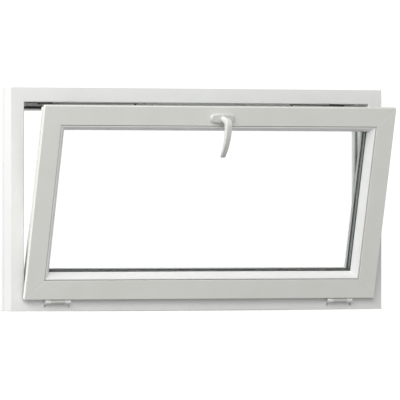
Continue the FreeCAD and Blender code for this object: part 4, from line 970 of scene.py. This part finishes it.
# ---------------------------------------------------------------- sash
@dataclass
class Sash:
    """Four welded bars of the sash, their glazing beads and the seals round the glass."""

    shop: Workshop
    sizes: WindowSizes
    poses: Poses
    platform: float = 57.0
    daylight: float = 77.0
    flange_front: float = 37.0
    bead_back: float = 7.0
    bead_gap: float = 2.2
    bead_step: float = 2.0
    bead_bow: float = 2.0
    bead_foot: tuple[float, float, float, float] = (-8.0, -7.8, -5.2, -5.0)
    bead_hook: float = 2.3
    nose_depth: float = 7.0
    groove: tuple[float, float] = (1.0, 17.0)
    channel: tuple[float, float, float] = (3.0, 15.0, 31.0)
    bead_slot: tuple[float, float, float] = (1.0, 4.0, 2.5)
    ribs: tuple[tuple[float, float], ...] = ((17.0, 20.0), (33.0, 35.0))
    wall: float = 3.0
    edge: float = 1.6
    joint: tuple[float, float] = (1.6, 0.55)
    bead_joint: tuple[float, float] = (0.5, 0.18)
    lip_depth: float = 14.0
    gearbox_opening: tuple[float, float] = (46.0, 27.0)
    spindle_bore: float = 6.3
    screw_bore: float = 2.9
    screw_spread: float = 21.5
    guide_opening: tuple[float, float] = (205.5, 256.8)
    guide_depth: tuple[float, float] = (35.7, 48.3)
    # The sash's bars are the same white plastic as the frame, painted darker: painted shade for their faces,
    # which lean down away from the light.
    tint: tuple[tuple[float, float, float], ...] = ((0.78, 0.78, 0.74), (0.76, 0.76, 0.717))
    # The beads are the same white plastic, painted lighter: painted light for their faces, which catch the
    # lamps.
    bead_painted_light_tint: tuple[tuple[float, float, float], ...] = ((0.9, 0.905, 0.885), (0.88, 0.885, 0.865))
    names: tuple[tuple[Side, str, str], ...] = (
        (Side.TOP, "sash_top_rail", "glazing_bead_top"),
        (Side.BOTTOM, "sash_bottom_rail", "glazing_bead_bottom"),
        (Side.LEFT, "sash_stile_left", "glazing_bead_left"),
        (Side.RIGHT, "sash_stile_right", "glazing_bead_right"),
    )

    def section(self) -> Section:
        """Overlap lip, hardware groove, glazing platform with the bead's groove, and outside flange."""
        front, back = -self.sizes.sash_proud, self.sizes.depth - self.sizes.sash_proud
        lip, wall, platform = self.sizes.lip, self.wall, self.platform
        lip_back = front + self.lip_depth
        low, high = self.groove
        channel_low, channel_high, floor = self.channel
        slot, slot_end, slot_depth = self.bead_slot
        outline = [
            (front, 0, self.edge),
            (lip_back, 0, 1.0),
            (lip_back, lip, 0.8),
            (low, lip),
            (low, lip + 2),
            (channel_low, lip + 2),
            (channel_low, floor),
            (channel_high, floor),
            (channel_high, lip + 2),
            (high, lip + 2),
            (high, lip),
            (back, lip, 1.0),
            (back, self.daylight, 3.0),
            (self.flange_front, self.daylight, 1.0),
            (self.flange_front, platform, 0.5),
            (lip_back - slot, platform),
            (lip_back - slot, platform - slot_depth),
            (lip_back - slot_end, platform - slot_depth),
            (lip_back - slot_end, platform),
            (front, platform, 1.3),
        ]
        under = platform - wall
        (rib, rib_end), (second, second_end) = self.ribs
        rooms = (
            ((front + wall, wall), (lip_back - wall, lip - wall)),
            ((front + wall, lip), (low - wall, under - wall)),
            ((low, floor + wall), (rib, under)),
            ((rib_end, lip + wall), (second, under)),
            ((second_end, lip + wall), (back - wall, under)),
            ((self.flange_front + wall, platform + wall), (back - wall, self.daylight - wall)),
        )
        chambers = tuple(rounded(rectangle(a, b, 0.6), steps=2) for a, b in rooms)
        return Section(rounded(outline), chambers)

    def bead_section(self) -> Section:
        """Glazing bead: snap foot, upright nose with a soft edge, and a face that bows back to the glass."""
        front, platform, back = -self.sizes.sash_proud + self.bead_step, self.platform, self.bead_back
        gap, nose_back = self.bead_gap, front + self.nose_depth
        foot, tip, tip_end, foot_end = self.bead_foot
        hook = platform - self.bead_hook
        top = (back - 3, self.daylight)
        nose = (front, platform + gap + 2.5)
        outline = [
            (front, platform + gap, 0.7),
            (nose_back, platform + gap),
            (nose_back, platform + 0.15),
            (foot, platform + 0.15),
            (tip, hook),
            (tip_end, hook),
            (foot_end, platform + 0.1),
            (back, platform + 0.1),
            (back, self.daylight, 0.4),
            (*top, 1.0),
            *bowed(top, nose, self.bead_bow),
            (*nose, 1.6),
        ]
        room = rectangle((back - 11, platform + 3), (back - 3, platform + 10), 1.0)
        return Section(rounded(outline), (rounded(room, steps=2),))

    def lip_seal(self, low_depth: float, high_depth: float, glass_is_behind: bool) -> Section:
        """Glazing seal: a foot in the bar's slot and a lip that leans on the glass."""
        foot, tip = self.daylight - 7, self.daylight + 1.5
        glass, other = (high_depth, low_depth) if glass_is_behind else (low_depth, high_depth)
        back_off = math.copysign(1.5, other - glass)
        outline = [
            (glass, foot),
            (glass, tip, 0.2),
            (glass + back_off, tip - 0.4, 0.5),
            (other, tip - 1.8, 0.5),
            (other, foot),
        ]
        return Section(rounded(outline if not glass_is_behind else outline[::-1], support=0.1))

    def top_rail_cuts(self) -> list[tuple[Shape, Matrix]]:
        """Openings milled in the top rail, in the frame of the sash's top edge."""
        channel_low, channel_high, _ = self.channel
        front, lip = -self.sizes.sash_proud, self.sizes.lip
        spindle = self.sizes.spindle_z
        half, sunk = self.gearbox_opening
        bore, screw = (
            turned(rectangle((front - 1, 0), (channel_low + 2, radius)), Along.Y, steps)
            for radius, steps in ((self.spindle_bore, 40), (self.screw_bore, 20))
        )
        cuts = [
            box_shape((-half, channel_low, -lip - sunk), (half, channel_high, -lip + 1)),
            bore.moved(z=spindle),
            screw.moved(x=-self.screw_spread, z=spindle),
            screw.moved(x=self.screw_spread, z=spindle),
        ]
        near, far = self.guide_opening
        front, back = self.guide_depth
        for low, high in ((-far, -near), (near, far)):
            cuts.append(box_shape((low, front, -lip - 4), (high, back, -lip + 1)))
        return [(cut, self.poses.sash_top) for cut in cuts]

    def build(self, rubber: bpy.types.Material) -> None:
        """Makes the bars, beads and seals.

        Args:
            rubber: the seals' finish.
        """
        width, height = self.sizes.sash_width, self.sizes.sash_height
        plane = self.poses.sash @ shift(z=self.sizes.sash_inset)
        # The bars take the darker tint (painted shade) and the beads the lighter one (painted light).
        finishes, bead_finishes = (
            {
                run: ExtrudedPlastic(f"{name}_{run.name.lower()}", run, self.poses.sash, *tint).material()
                for run in Run
            }
            for name, tint in (("sash_plastic_painted_shade", self.tint), ("bead_plastic_painted_light", self.bead_painted_light_tint))
        )
        for side, bar_node, bead_node in self.names:
            pose, length, run = plane @ side.pose(width, height), side.length(width, height), side.run
            cuts = self.top_rail_cuts() if side is Side.TOP else []
            bar, bead = self.section(), self.bead_section()
            for name, node, section, joint, finish, holes in (
                (f"{bar_node}_bar", bar_node, bar, self.joint, finishes[run], cuts),
                (f"{bead_node}_strip", bead_node, bead, self.bead_joint, bead_finishes[run], []),
            ):
                shape = section.bar(length, *joint)
                self.shop.add(name, shape, pose, "sash", [node], "white_pvc", finish, cuts=holes)
        seals = {
            "glazing_gasket_inner": self.lip_seal(self.bead_back + 0.05, 9.95, True),
            "glazing_gasket_outer": self.lip_seal(34.05, self.flange_front - 0.05, False),
        }
        for node, section in seals.items():
            ring = section.ring(width, height)
            self.shop.add(f"{node}_lip", ring, plane, "sash", [node], "black_seal", rubber)


# ---------------------------------------------------------------- handle
@dataclass
class Handle:
    """Lever handle: an oval cover on the sash and a bowed lever on its neck."""

    shop: Workshop
    poses: Poses
    cover_length: float = 76.0
    cover_height: float = 28.0
    cover_depth: float = 10.0
    cover_edge: float = 3.2
    neck: float = 9.0
    neck_end: float = 37.0
    elbow: tuple[float, float] = (-49.5, 0.5)
    shoulder: tuple[float, float] = (-50.5, -18.0)
    belly: tuple[float, float] = (-58.0, -62.0)
    tip: tuple[float, float] = (-34.0, -108.0)
    half_width: tuple[float, float, float] = (8.9, 8.2, 7.4)
    half_thickness: tuple[float, float, float] = (8.9, 9.2, 3.8)
    grip_edge: float = 1.7
    tip_edge: float = 0.8
    roundest: float = 0.97
    neck_start: float = 4.0
    neck_points: int = 8
    turn_steps: int = 12
    grip_steps: int = 28
    squaring: tuple[int, int] = (4, 13)
    corner_points: int = 9
    crown: float = 0.4
    neck_lip: float = 2.0
    collar_gap: float = 0.15
    colour: tuple[tuple[float, float, float], ...] = ((0.66, 0.66, 0.635), (0.64, 0.64, 0.615))

    def lever(self) -> Shape:
        """Carries a rounded section along a bent spine.

        The spine is a straight neck, a quadratic curve round the elbow and a second one down the bowed grip.
        The section at each station is a rounded rectangle across the spine. A corner point is the corner's
        centre, half the width less the radius by half the thickness less the radius, plus the radius times
        the cosine and sine. The radius goes from the neck's full round to the grip's small one between the
        two stations of squaring, and the last stations shrink a little towards the flat tip.

        Returns:
            The lever, in the frame of the handle's base.
        """
        turn_share, grip_share = (
            np.linspace(0, 1, steps + 1)[1:, None] for steps in (self.turn_steps, self.grip_steps)
        )

        bend, elbow, shoulder, belly, tip = (
            np.array(point)
            for point in ((-self.neck_end, 0.0), self.elbow, self.shoulder, self.belly, self.tip)
        )
        count = self.neck_points
        neck = np.column_stack([np.linspace(-self.neck_start, -self.neck_end, count), np.zeros(count)])
        turn = quadratic(bend, elbow, shoulder, turn_share)
        grip = quadratic(shoulder, belly, tip, grip_share)
        spine = np.concatenate([neck, turn, grip])
        tangent = np.gradient(spine, axis=0)
        tangent /= np.linalg.norm(tangent, axis=1, keepdims=True)
        normal = np.stack([-tangent[:, 1], tangent[:, 0]], 1)
        run = np.concatenate([[0.0], np.cumsum(np.linalg.norm(np.diff(spine, axis=0), axis=1))])
        left = run[-1] - run
        marks = (run[count - 1], run[count - 1 + self.turn_steps], run[-1])
        wide = np.interp(run, marks, self.half_width)
        thick = np.interp(run, marks, self.half_thickness)
        shrink = self.tip_edge * (1 - np.sqrt(np.clip(left / self.tip_edge, 0, 1)))
        wide, thick = wide - shrink, thick - shrink
        full = np.minimum(wide, thick) * self.roundest
        squaring = run[list(self.squaring)]
        radius = np.minimum(np.interp(run, squaring, (self.neck, self.grip_edge)), full)[:, None]
        quarter = np.linspace(0, math.pi / 2, self.corner_points)
        angle = (quarter[None] + np.arange(4)[:, None] * math.pi / 2).ravel()
        corner = np.repeat(np.array([[1, 1], [-1, 1], [-1, -1], [1, -1]]), self.corner_points, axis=0)
        across = corner[:, 0] * (wide[:, None] - radius) + radius * np.cos(angle)
        through = corner[:, 1] * (thick[:, None] - radius) + radius * np.sin(angle)
        place = spine[:, None] + normal[:, None] * through[..., None]
        points = np.concatenate([across[..., None], place], 2)
        count, steps = across.shape
        ends = [tuple(range(steps)), tuple(range((count - 1) * steps, count * steps))]
        return Shape(points.reshape(-1, 3), grid_faces(count, steps) + ends)

    def cover(self) -> Shape:
        """Oval cover with a rounded rim that runs in to a collar round the neck.

        Its outline is a slot shape: a point goes round a circle whose centre slides along the middle line.
        Each next ring keeps the angle and draws in by the rim's quarter circle, then blends from the slot
        shape to the neck's circle while the face rises a little.

        Returns:
            The cover, in the frame of the handle's base.
        """
        half = (self.cover_length - self.cover_height) / 2
        radius, edge, depth = self.cover_height / 2, self.cover_edge, self.cover_depth
        crown = self.crown
        angle = np.linspace(0, 2 * math.pi, 96, endpoint=False)
        slide = half * np.clip(np.cos(angle) * 1.6, -1, 1)
        quarter = np.linspace(0, math.pi / 2, 7)
        inset = np.concatenate([[0.0, 0.0], edge * (1 - np.cos(quarter))])
        start = depth - edge - crown
        height = np.concatenate([[0.0, start], depth - edge + edge * np.sin(quarter) - crown])
        rim_x = slide + (radius - inset[:, None]) * np.cos(angle)
        rim_z = (radius - inset[:, None]) * np.sin(angle)
        blend = np.linspace(0, 1, 9)[1:, None]
        soft = blend * blend * (3 - 2 * blend)
        collar = self.neck + self.collar_gap
        face_x = rim_x[-1] * (1 - soft) + collar * np.cos(angle) * soft
        face_z = rim_z[-1] * (1 - soft) + collar * np.sin(angle) * soft
        face_height = depth - crown + crown * soft[:, 0]
        x = np.concatenate([rim_x, face_x, face_x[-1:], rim_x[:1] * 0 + collar * np.cos(angle)])
        z = np.concatenate([rim_z, face_z, face_z[-1:], rim_z[:1] * 0 + collar * np.sin(angle)])
        y = np.concatenate([height, face_height, [depth - self.neck_lip, 0.0]])[:, None] + x * 0
        points = np.stack([x, -y, z], -1)
        return Shape(points.reshape(-1, 3), grid_faces(len(x), len(angle), closed_rows=True))

    def build(self) -> None:
        """Makes the lever and the cover."""
        pose = self.poses.handle
        coat = PowderCoat("handle_coat", *self.colour).material()
        for name, shape, body, node, smooth in (
            ("lever_grip", self.lever(), "handle", "handle_lever", 30.0),
            ("rosette_cover", self.cover(), "sash", "handle_rosette", 50.0),
        ):
            self.shop.add(name, shape, pose, body, [node], "handle_white", coat, smooth)


# ---------------------------------------------------------------- hinges
@dataclass
class Hinges:
    """Two barrel hinges: frame brackets with outer knuckles, sash leaves with the middle one, end caps."""

    shop: Workshop
    sizes: WindowSizes
    poses: Poses
    radius: float = 6.5
    bore: float = 3.06
    leaf: float = 22.5
    ear: tuple[float, float] = (22.8, 38.8)
    socket: tuple[float, float] = (1.7, 28.0)
    plate: float = 2.2
    web_start: float = 3.4
    foot_drop: float = 12.0
    screw_sizes: tuple[float, float, float, float] = (3.6, 1.2, 2.0, 12.0)
    screw_gap: float = 0.1
    slot: tuple[float, float, float] = (1.8, 0.4, 0.9)

    def knuckle(self, low: float, high: float) -> Shape:
        """Tube round the hinge axis with softened rims."""
        outline = [(low, self.bore), (high, self.bore), (high, self.radius, 0.9), (low, self.radius, 0.9)]
        return turned(outline, Along.X)

    def bracket(self) -> Shape:
        """Outer knuckles on webs, a strip that joins them, and two screw feet, round the hinge axis."""
        face = -self.sizes.hinge_axis[0]
        near, far = self.ear
        start, room = self.web_start, face - self.plate
        web = [(start, -5.2), (room, -10), (face, -10), (face, 4, 0.8), (start, 5.2)]
        strip = rectangle((room, -10), (face, -4.5), 0.5)
        foot = rectangle((room, -17), (face, -5), 0.6)
        parts = [prism(strip, -far, far, Along.X)]
        for sign in (-1, 1):
            ends = sorted((sign * near, sign * far))
            parts += [self.knuckle(*ends), prism(web, *ends, Along.X)]
            middle = sign * (far - 1)
            parts.append(prism(foot, middle - 6, middle + 6, Along.X))
        return together(parts)

    def sash_leaf(self) -> Shape:
        """Middle knuckle with the neck and the plate that is screwed behind the sash's lip."""
        plate_front = -self.sizes.sash_proud + Sash.lip_depth - self.sizes.hinge_axis[0]
        plate_back, top = plate_front + 2.5, self.sizes.sash_inset + 18 - self.sizes.hinge_axis[1]
        start = self.web_start
        neck = [(start, -2.0), (plate_back, -2.0, 0.8), (plate_back, 2.0), (start, 2.0)]
        plate = rectangle((plate_front + 0.02, -2.0), (plate_back, top), 0.5)
        ends = (-self.leaf, self.leaf)
        return together([self.knuckle(*ends), prism(neck, *ends, Along.X), prism(plate, *ends, Along.X)])

    def feet(self, shape: Shape) -> Shape:
        """Copies of a shape at a hinge's two screw places, round the hinge axis."""
        depth = -self.sizes.hinge_axis[0] - self.plate
        across = self.ear[1] - 1
        return together([shape.moved(x=sign * across, y=depth, z=-self.foot_drop) for sign in (-1, 1)])

    def screw(self) -> Shape:
        """Sunk screw with a barely crowned head, entering along Y."""
        head, thick, shank, length = self.screw_sizes
        body = [(0.12, 0), (length, 0), (length, shank), (thick, shank)]
        crown = [(thick, head), (0.3, head, 0.25), (0.12, shank)]
        return turned(body + crown, Along.Y)

    def caps(self) -> Shape:
        """A domed cap on each end of each hinge, round the hinge axis."""
        far, radius = self.ear[1], self.radius
        rim = radius - 0.2
        dome = [(far, 0), (far, rim), (far + 0.7, rim, 0.3), (far + 1.6, radius - 1.8, 1.2), (far + 2.0, 0)]
        cap = turned(dome, Along.X)
        other = Shape(cap.points * (-1, 1, 1), cap.faces)
        places = (-self.sizes.hinge_spread / 2, self.sizes.hinge_spread / 2)
        return together([side.moved(x=place) for place in places for side in (cap, other)])

    def build(self, coat: bpy.types.Material, zinc: bpy.types.Material) -> None:
        """Makes both hinges.

        Args:
            coat: their finish.
            zinc: the screws' finish.
        """
        depth, height = self.sizes.hinge_axis
        axis = shift(y=depth, z=height)
        socket, offset = self.socket
        grey = PowderCoat("grey_coat", (0.6, 0.6, 0.575), (0.57, 0.57, 0.545)).material()
        head, thick, shank, _ = self.screw_sizes
        head, shank = head + self.screw_gap, shank + self.screw_gap
        sunk = [(-1, 0), (3, 0), (3, shank), (thick, shank), (thick, head), (-1, head)]
        seats = self.feet(turned(sunk, Along.Y))
        half, thin, deep = self.slot
        slots = [self.feet(box_shape((-x, -1, -z), (x, deep, z))) for x, z in ((half, thin), (thin, half))]
        for side, sign in (("left", -1), ("right", 1)):
            place = axis @ shift(x=sign * self.sizes.hinge_spread / 2)
            hole = turned(rectangle((-self.radius - 1, 0), (-2.9, socket)), Along.Y, 6)
            holes = together([hole.moved(x=way * offset, z=1.5) for way in (-1, 1)])
            pose = self.poses.frame @ place
            node = f"hinge_frame_bracket_{side}"
            cuts = [(holes, pose), (seats, pose)]
            bracket = self.bracket()
            self.shop.add(f"{node}_knuckles", bracket, pose, "frame", [node], "hinge_white", coat, cuts=cuts)
            node, cuts = "hinge_bracket_screws", [(cross, pose) for cross in slots]
            screws = self.feet(self.screw())
            self.shop.add(f"{node}_{side}", screws, pose, "frame", [node], "zinc_hardware", zinc, cuts=cuts)
            node = f"hinge_sash_leaf_{side}"
            pose = self.poses.sash @ place
            self.shop.add(f"{node}_knuckle", self.sash_leaf(), pose, "sash", [node], "hinge_white", grey)
        pose = self.poses.frame @ axis
        self.shop.add("hinge_end_caps", self.caps(), pose, "frame", ["hinge_caps"], "hinge_white", coat, 50.0)


# ---------------------------------------------------------------- stage
def direction(azimuth: float, elevation: float) -> Vector:
    """Unit vector from the object, by the angles round it from the front and above it, in radians."""
    level = math.cos(elevation)
    return Vector((math.sin(azimuth) * level, -math.cos(azimuth) * level, math.sin(elevation)))


@dataclass(frozen=True)
class SoftPanel:
    """Square soft light that faces the object from a direction, in degrees round it and above it."""

    name: str
    azimuth: float
    power: float
    elevation: float = 35.0
    size: float = 4.0
    distance: float = 7.0

    def place(self, target: Vector) -> None:
        """Hangs the panel at its distance from a point, facing it."""
        way = direction(math.radians(self.azimuth), math.radians(self.elevation))
        light = bpy.data.lights.new(self.name, "AREA")
        light.shape, light.size, light.energy = "SQUARE", self.size, self.power
        panel = bpy.data.objects.new(self.name, light)
        panel.location = target + way * self.distance
        panel.rotation_euler = way.to_track_quat("Z", "Y").to_euler()
        bpy.context.scene.collection.objects.link(panel)


@dataclass(frozen=True)
class Studio:
    """Plain pale floor that fades out, soft light from the left and from the front, and the camera."""

    azimuth: float = -25.0
    elevation: float = -0.1
    distance: float = 20.0
    lens: float = 613.4
    target: tuple[float, float, float] = (0.005, -0.035, 0.323)
    panels: tuple[SoftPanel, ...] = (
        SoftPanel("front_panel", -20.0, 160.0, elevation=28.0),
        SoftPanel("low_panel", -5.0, 55.0, elevation=4.0),
        SoftPanel("corner_panel", -55.0, 220.0),
        SoftPanel("side_panel", -90.0, 350.0),
    )
    ambient: tuple[float, float] = (0.36, 0.25)
    ambient_reach: float = 0.4
    backdrop: float = 1.12
    floor_radius: float = 0.8
    floor_share: float = 0.3
    floor_fade: float = 0.3
    floor_drop: float = 0.0003
    floor_grid: tuple[int, int] = (13, 96)
    floor_tint: tuple[tuple[float, float, float], ...] = ((0.62, 0.62, 0.62), (0.6, 0.6, 0.6))

    def build(self) -> None:
        """Makes the stage."""
        self.add_world()
        self.add_floor()
        for panel in self.panels:
            panel.place(Vector(self.target))
        self.add_camera()
        bpy.context.scene.view_settings.view_transform = "Standard"

    def add_world(self) -> None:
        """White surroundings that light the object less than they show, and least from above."""
        world = bpy.data.worlds.new("surroundings")
        world.use_nodes = True
        tree = world.node_tree

        def ramp(source: Socket, low: float | Socket, high: float) -> bpy.types.Node:
            """A Map Range node from a socket, to a range whose start may be another socket."""
            node = tree.nodes.new("ShaderNodeMapRange")
            tree.links.new(source, node.inputs["Value"])
            if isinstance(low, float):
                node.inputs["To Min"].default_value = low
            else:
                tree.links.new(low, node.inputs["To Min"])
            node.inputs["To Max"].default_value = high
            return node

        path = tree.nodes.new("ShaderNodeLightPath")
        seen = tree.nodes.new("ShaderNodeMath")
        seen.operation = "MAXIMUM"
        tree.links.new(path.outputs["Is Camera Ray"], seen.inputs[0])
        tree.links.new(path.outputs["Is Transmission Ray"], seen.inputs[1])
        split = tree.nodes.new("ShaderNodeSeparateXYZ")
        tree.links.new(tree.nodes.new("ShaderNodeTexCoord").outputs["Generated"], split.inputs[0])
        height = ramp(split.outputs["Z"], *self.ambient)
        height.inputs["From Min"].default_value = -self.ambient_reach
        height.inputs["From Max"].default_value = self.ambient_reach
        strength = ramp(seen.outputs[0], height.outputs[0], self.backdrop)
        tree.links.new(strength.outputs[0], tree.nodes["Background"].inputs["Strength"])
        tree.nodes["Background"].inputs["Color"].default_value = (1.0, 1.0, 1.0, 1.0)
        bpy.context.scene.world = world

    def add_floor(self) -> None:
        """Long oval whose rim fades into the surroundings."""
        rings, steps = self.floor_grid
        angle = np.linspace(0, 2 * math.pi, steps, endpoint=False)
        radius = np.linspace(0.0, self.floor_radius, rings)[:, None]
        level = np.full((rings, steps), -self.floor_drop)
        points = np.stack([radius * np.cos(angle), radius * np.sin(angle) * self.floor_share, level], -1)
        mesh = bpy.data.meshes.new("floor")
        mesh.from_pydata(points.reshape(-1, 3).tolist(), [], grid_faces(rings, steps))
        mesh.flip_normals()
        floor = bpy.data.objects.new("floor", mesh)
        bpy.context.scene.collection.objects.link(floor)
        shader = Shader("pale_floor")
        place = shader.stretched(shader.place(), (1.0, 1 / self.floor_share, 1.0))
        length = shader.node("ShaderNodeVectorMath", {"operation": "LENGTH"}, {0: place}).outputs["Value"]
        solid = self.floor_radius * self.floor_fade
        shader.link("Alpha", Expression(shader, length).ramp(low=self.floor_radius, high=solid))
        shader.link("Base Color", shader.blend(shader.noise(place, scale=3.0), *self.floor_tint))
        shader.fix("Roughness", 0.9)
        mesh.materials.append(shader.material)
        floor.visible_diffuse = False

    def add_camera(self) -> None:
        """Camera with a long lens, to the left of the window's middle."""
        around, above = math.radians(self.azimuth), math.radians(self.elevation)
        back = direction(around, above)
        data = bpy.data.cameras.new("camera")
        data.lens, data.sensor_width = self.lens, 36.0
        data.clip_start, data.clip_end = 0.1, 200.0
        camera = bpy.data.objects.new("camera", data)
        camera.location = Vector(self.target) + back * self.distance
        camera.rotation_euler = back.to_track_quat("Z", "Y").to_euler()
        bpy.context.scene.collection.objects.link(camera)
        bpy.context.scene.camera = camera


def main() -> None:
    """Builds the window's looks group by group."""
    logging.basicConfig(level=logging.INFO, format="%(name)s: %(message)s")
    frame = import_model()
    sizes = WindowSizes()
    poses = sizes.poses(frame["record"])
    shop = Workshop(frame["nodes"])
    rubber = Rubber("seal_rubber").material()
    zinc = Metal("zinc_plate").material()
    coat = PowderCoat("white_coat").material()
    FixedFrame(shop, sizes, poses).build(rubber)
    Sash(shop, sizes, poses).build(rubber)
    Handle(shop, poses).build()
    Hinges(shop, sizes, poses).build(coat, zinc)
    stays = [node for node in frame["nodes"] if node.startswith("stay")]
    groups = {
        # Stays: zinc painted nearly black as painted shade, so they read as the shadowed gap under the
        # frame's head.
        Metal("dark_zinc", (0.16, 0.16, 0.15), (0.1, 0.1, 0.095)).material(): stays,
        zinc: [
            node
            for node in frame["nodes"]
            if any(word in node for word in ("screws", "striker", "pin")) and node not in stays
        ]
        + ["faceplate", "drive_rod", "lock_cams", "gearbox_case", "gearbox_cover"],
        coat: ["handle_base", "drain_caps"],
        rubber: ["overlap_gasket"],
        ClearGlass("float_glass").material(): ["glass_pane_inner", "glass_pane_outer"],
        Moulding("edge_sealant", (0.03, 0.032, 0.032), (0.05, 0.05, 0.05)).material(): ["glass_edge_seal"],
        Moulding("packer_nylon", (0.12, 0.2, 0.4), (0.1, 0.17, 0.35)).material(): ["setting_blocks"],
        Metal("galvanised", spangle=160.0).material(): ["frame_steel_bars", "sash_steel_bars"],
        PerforatedBar("spacer_alloy", poses.sash, middle=0.022).material(): ["glass_spacer_bar"],
    }
    for material, nodes in groups.items():
        shop.dress(nodes, material)
    Studio().build()


if __name__ == "__main__":
    main()
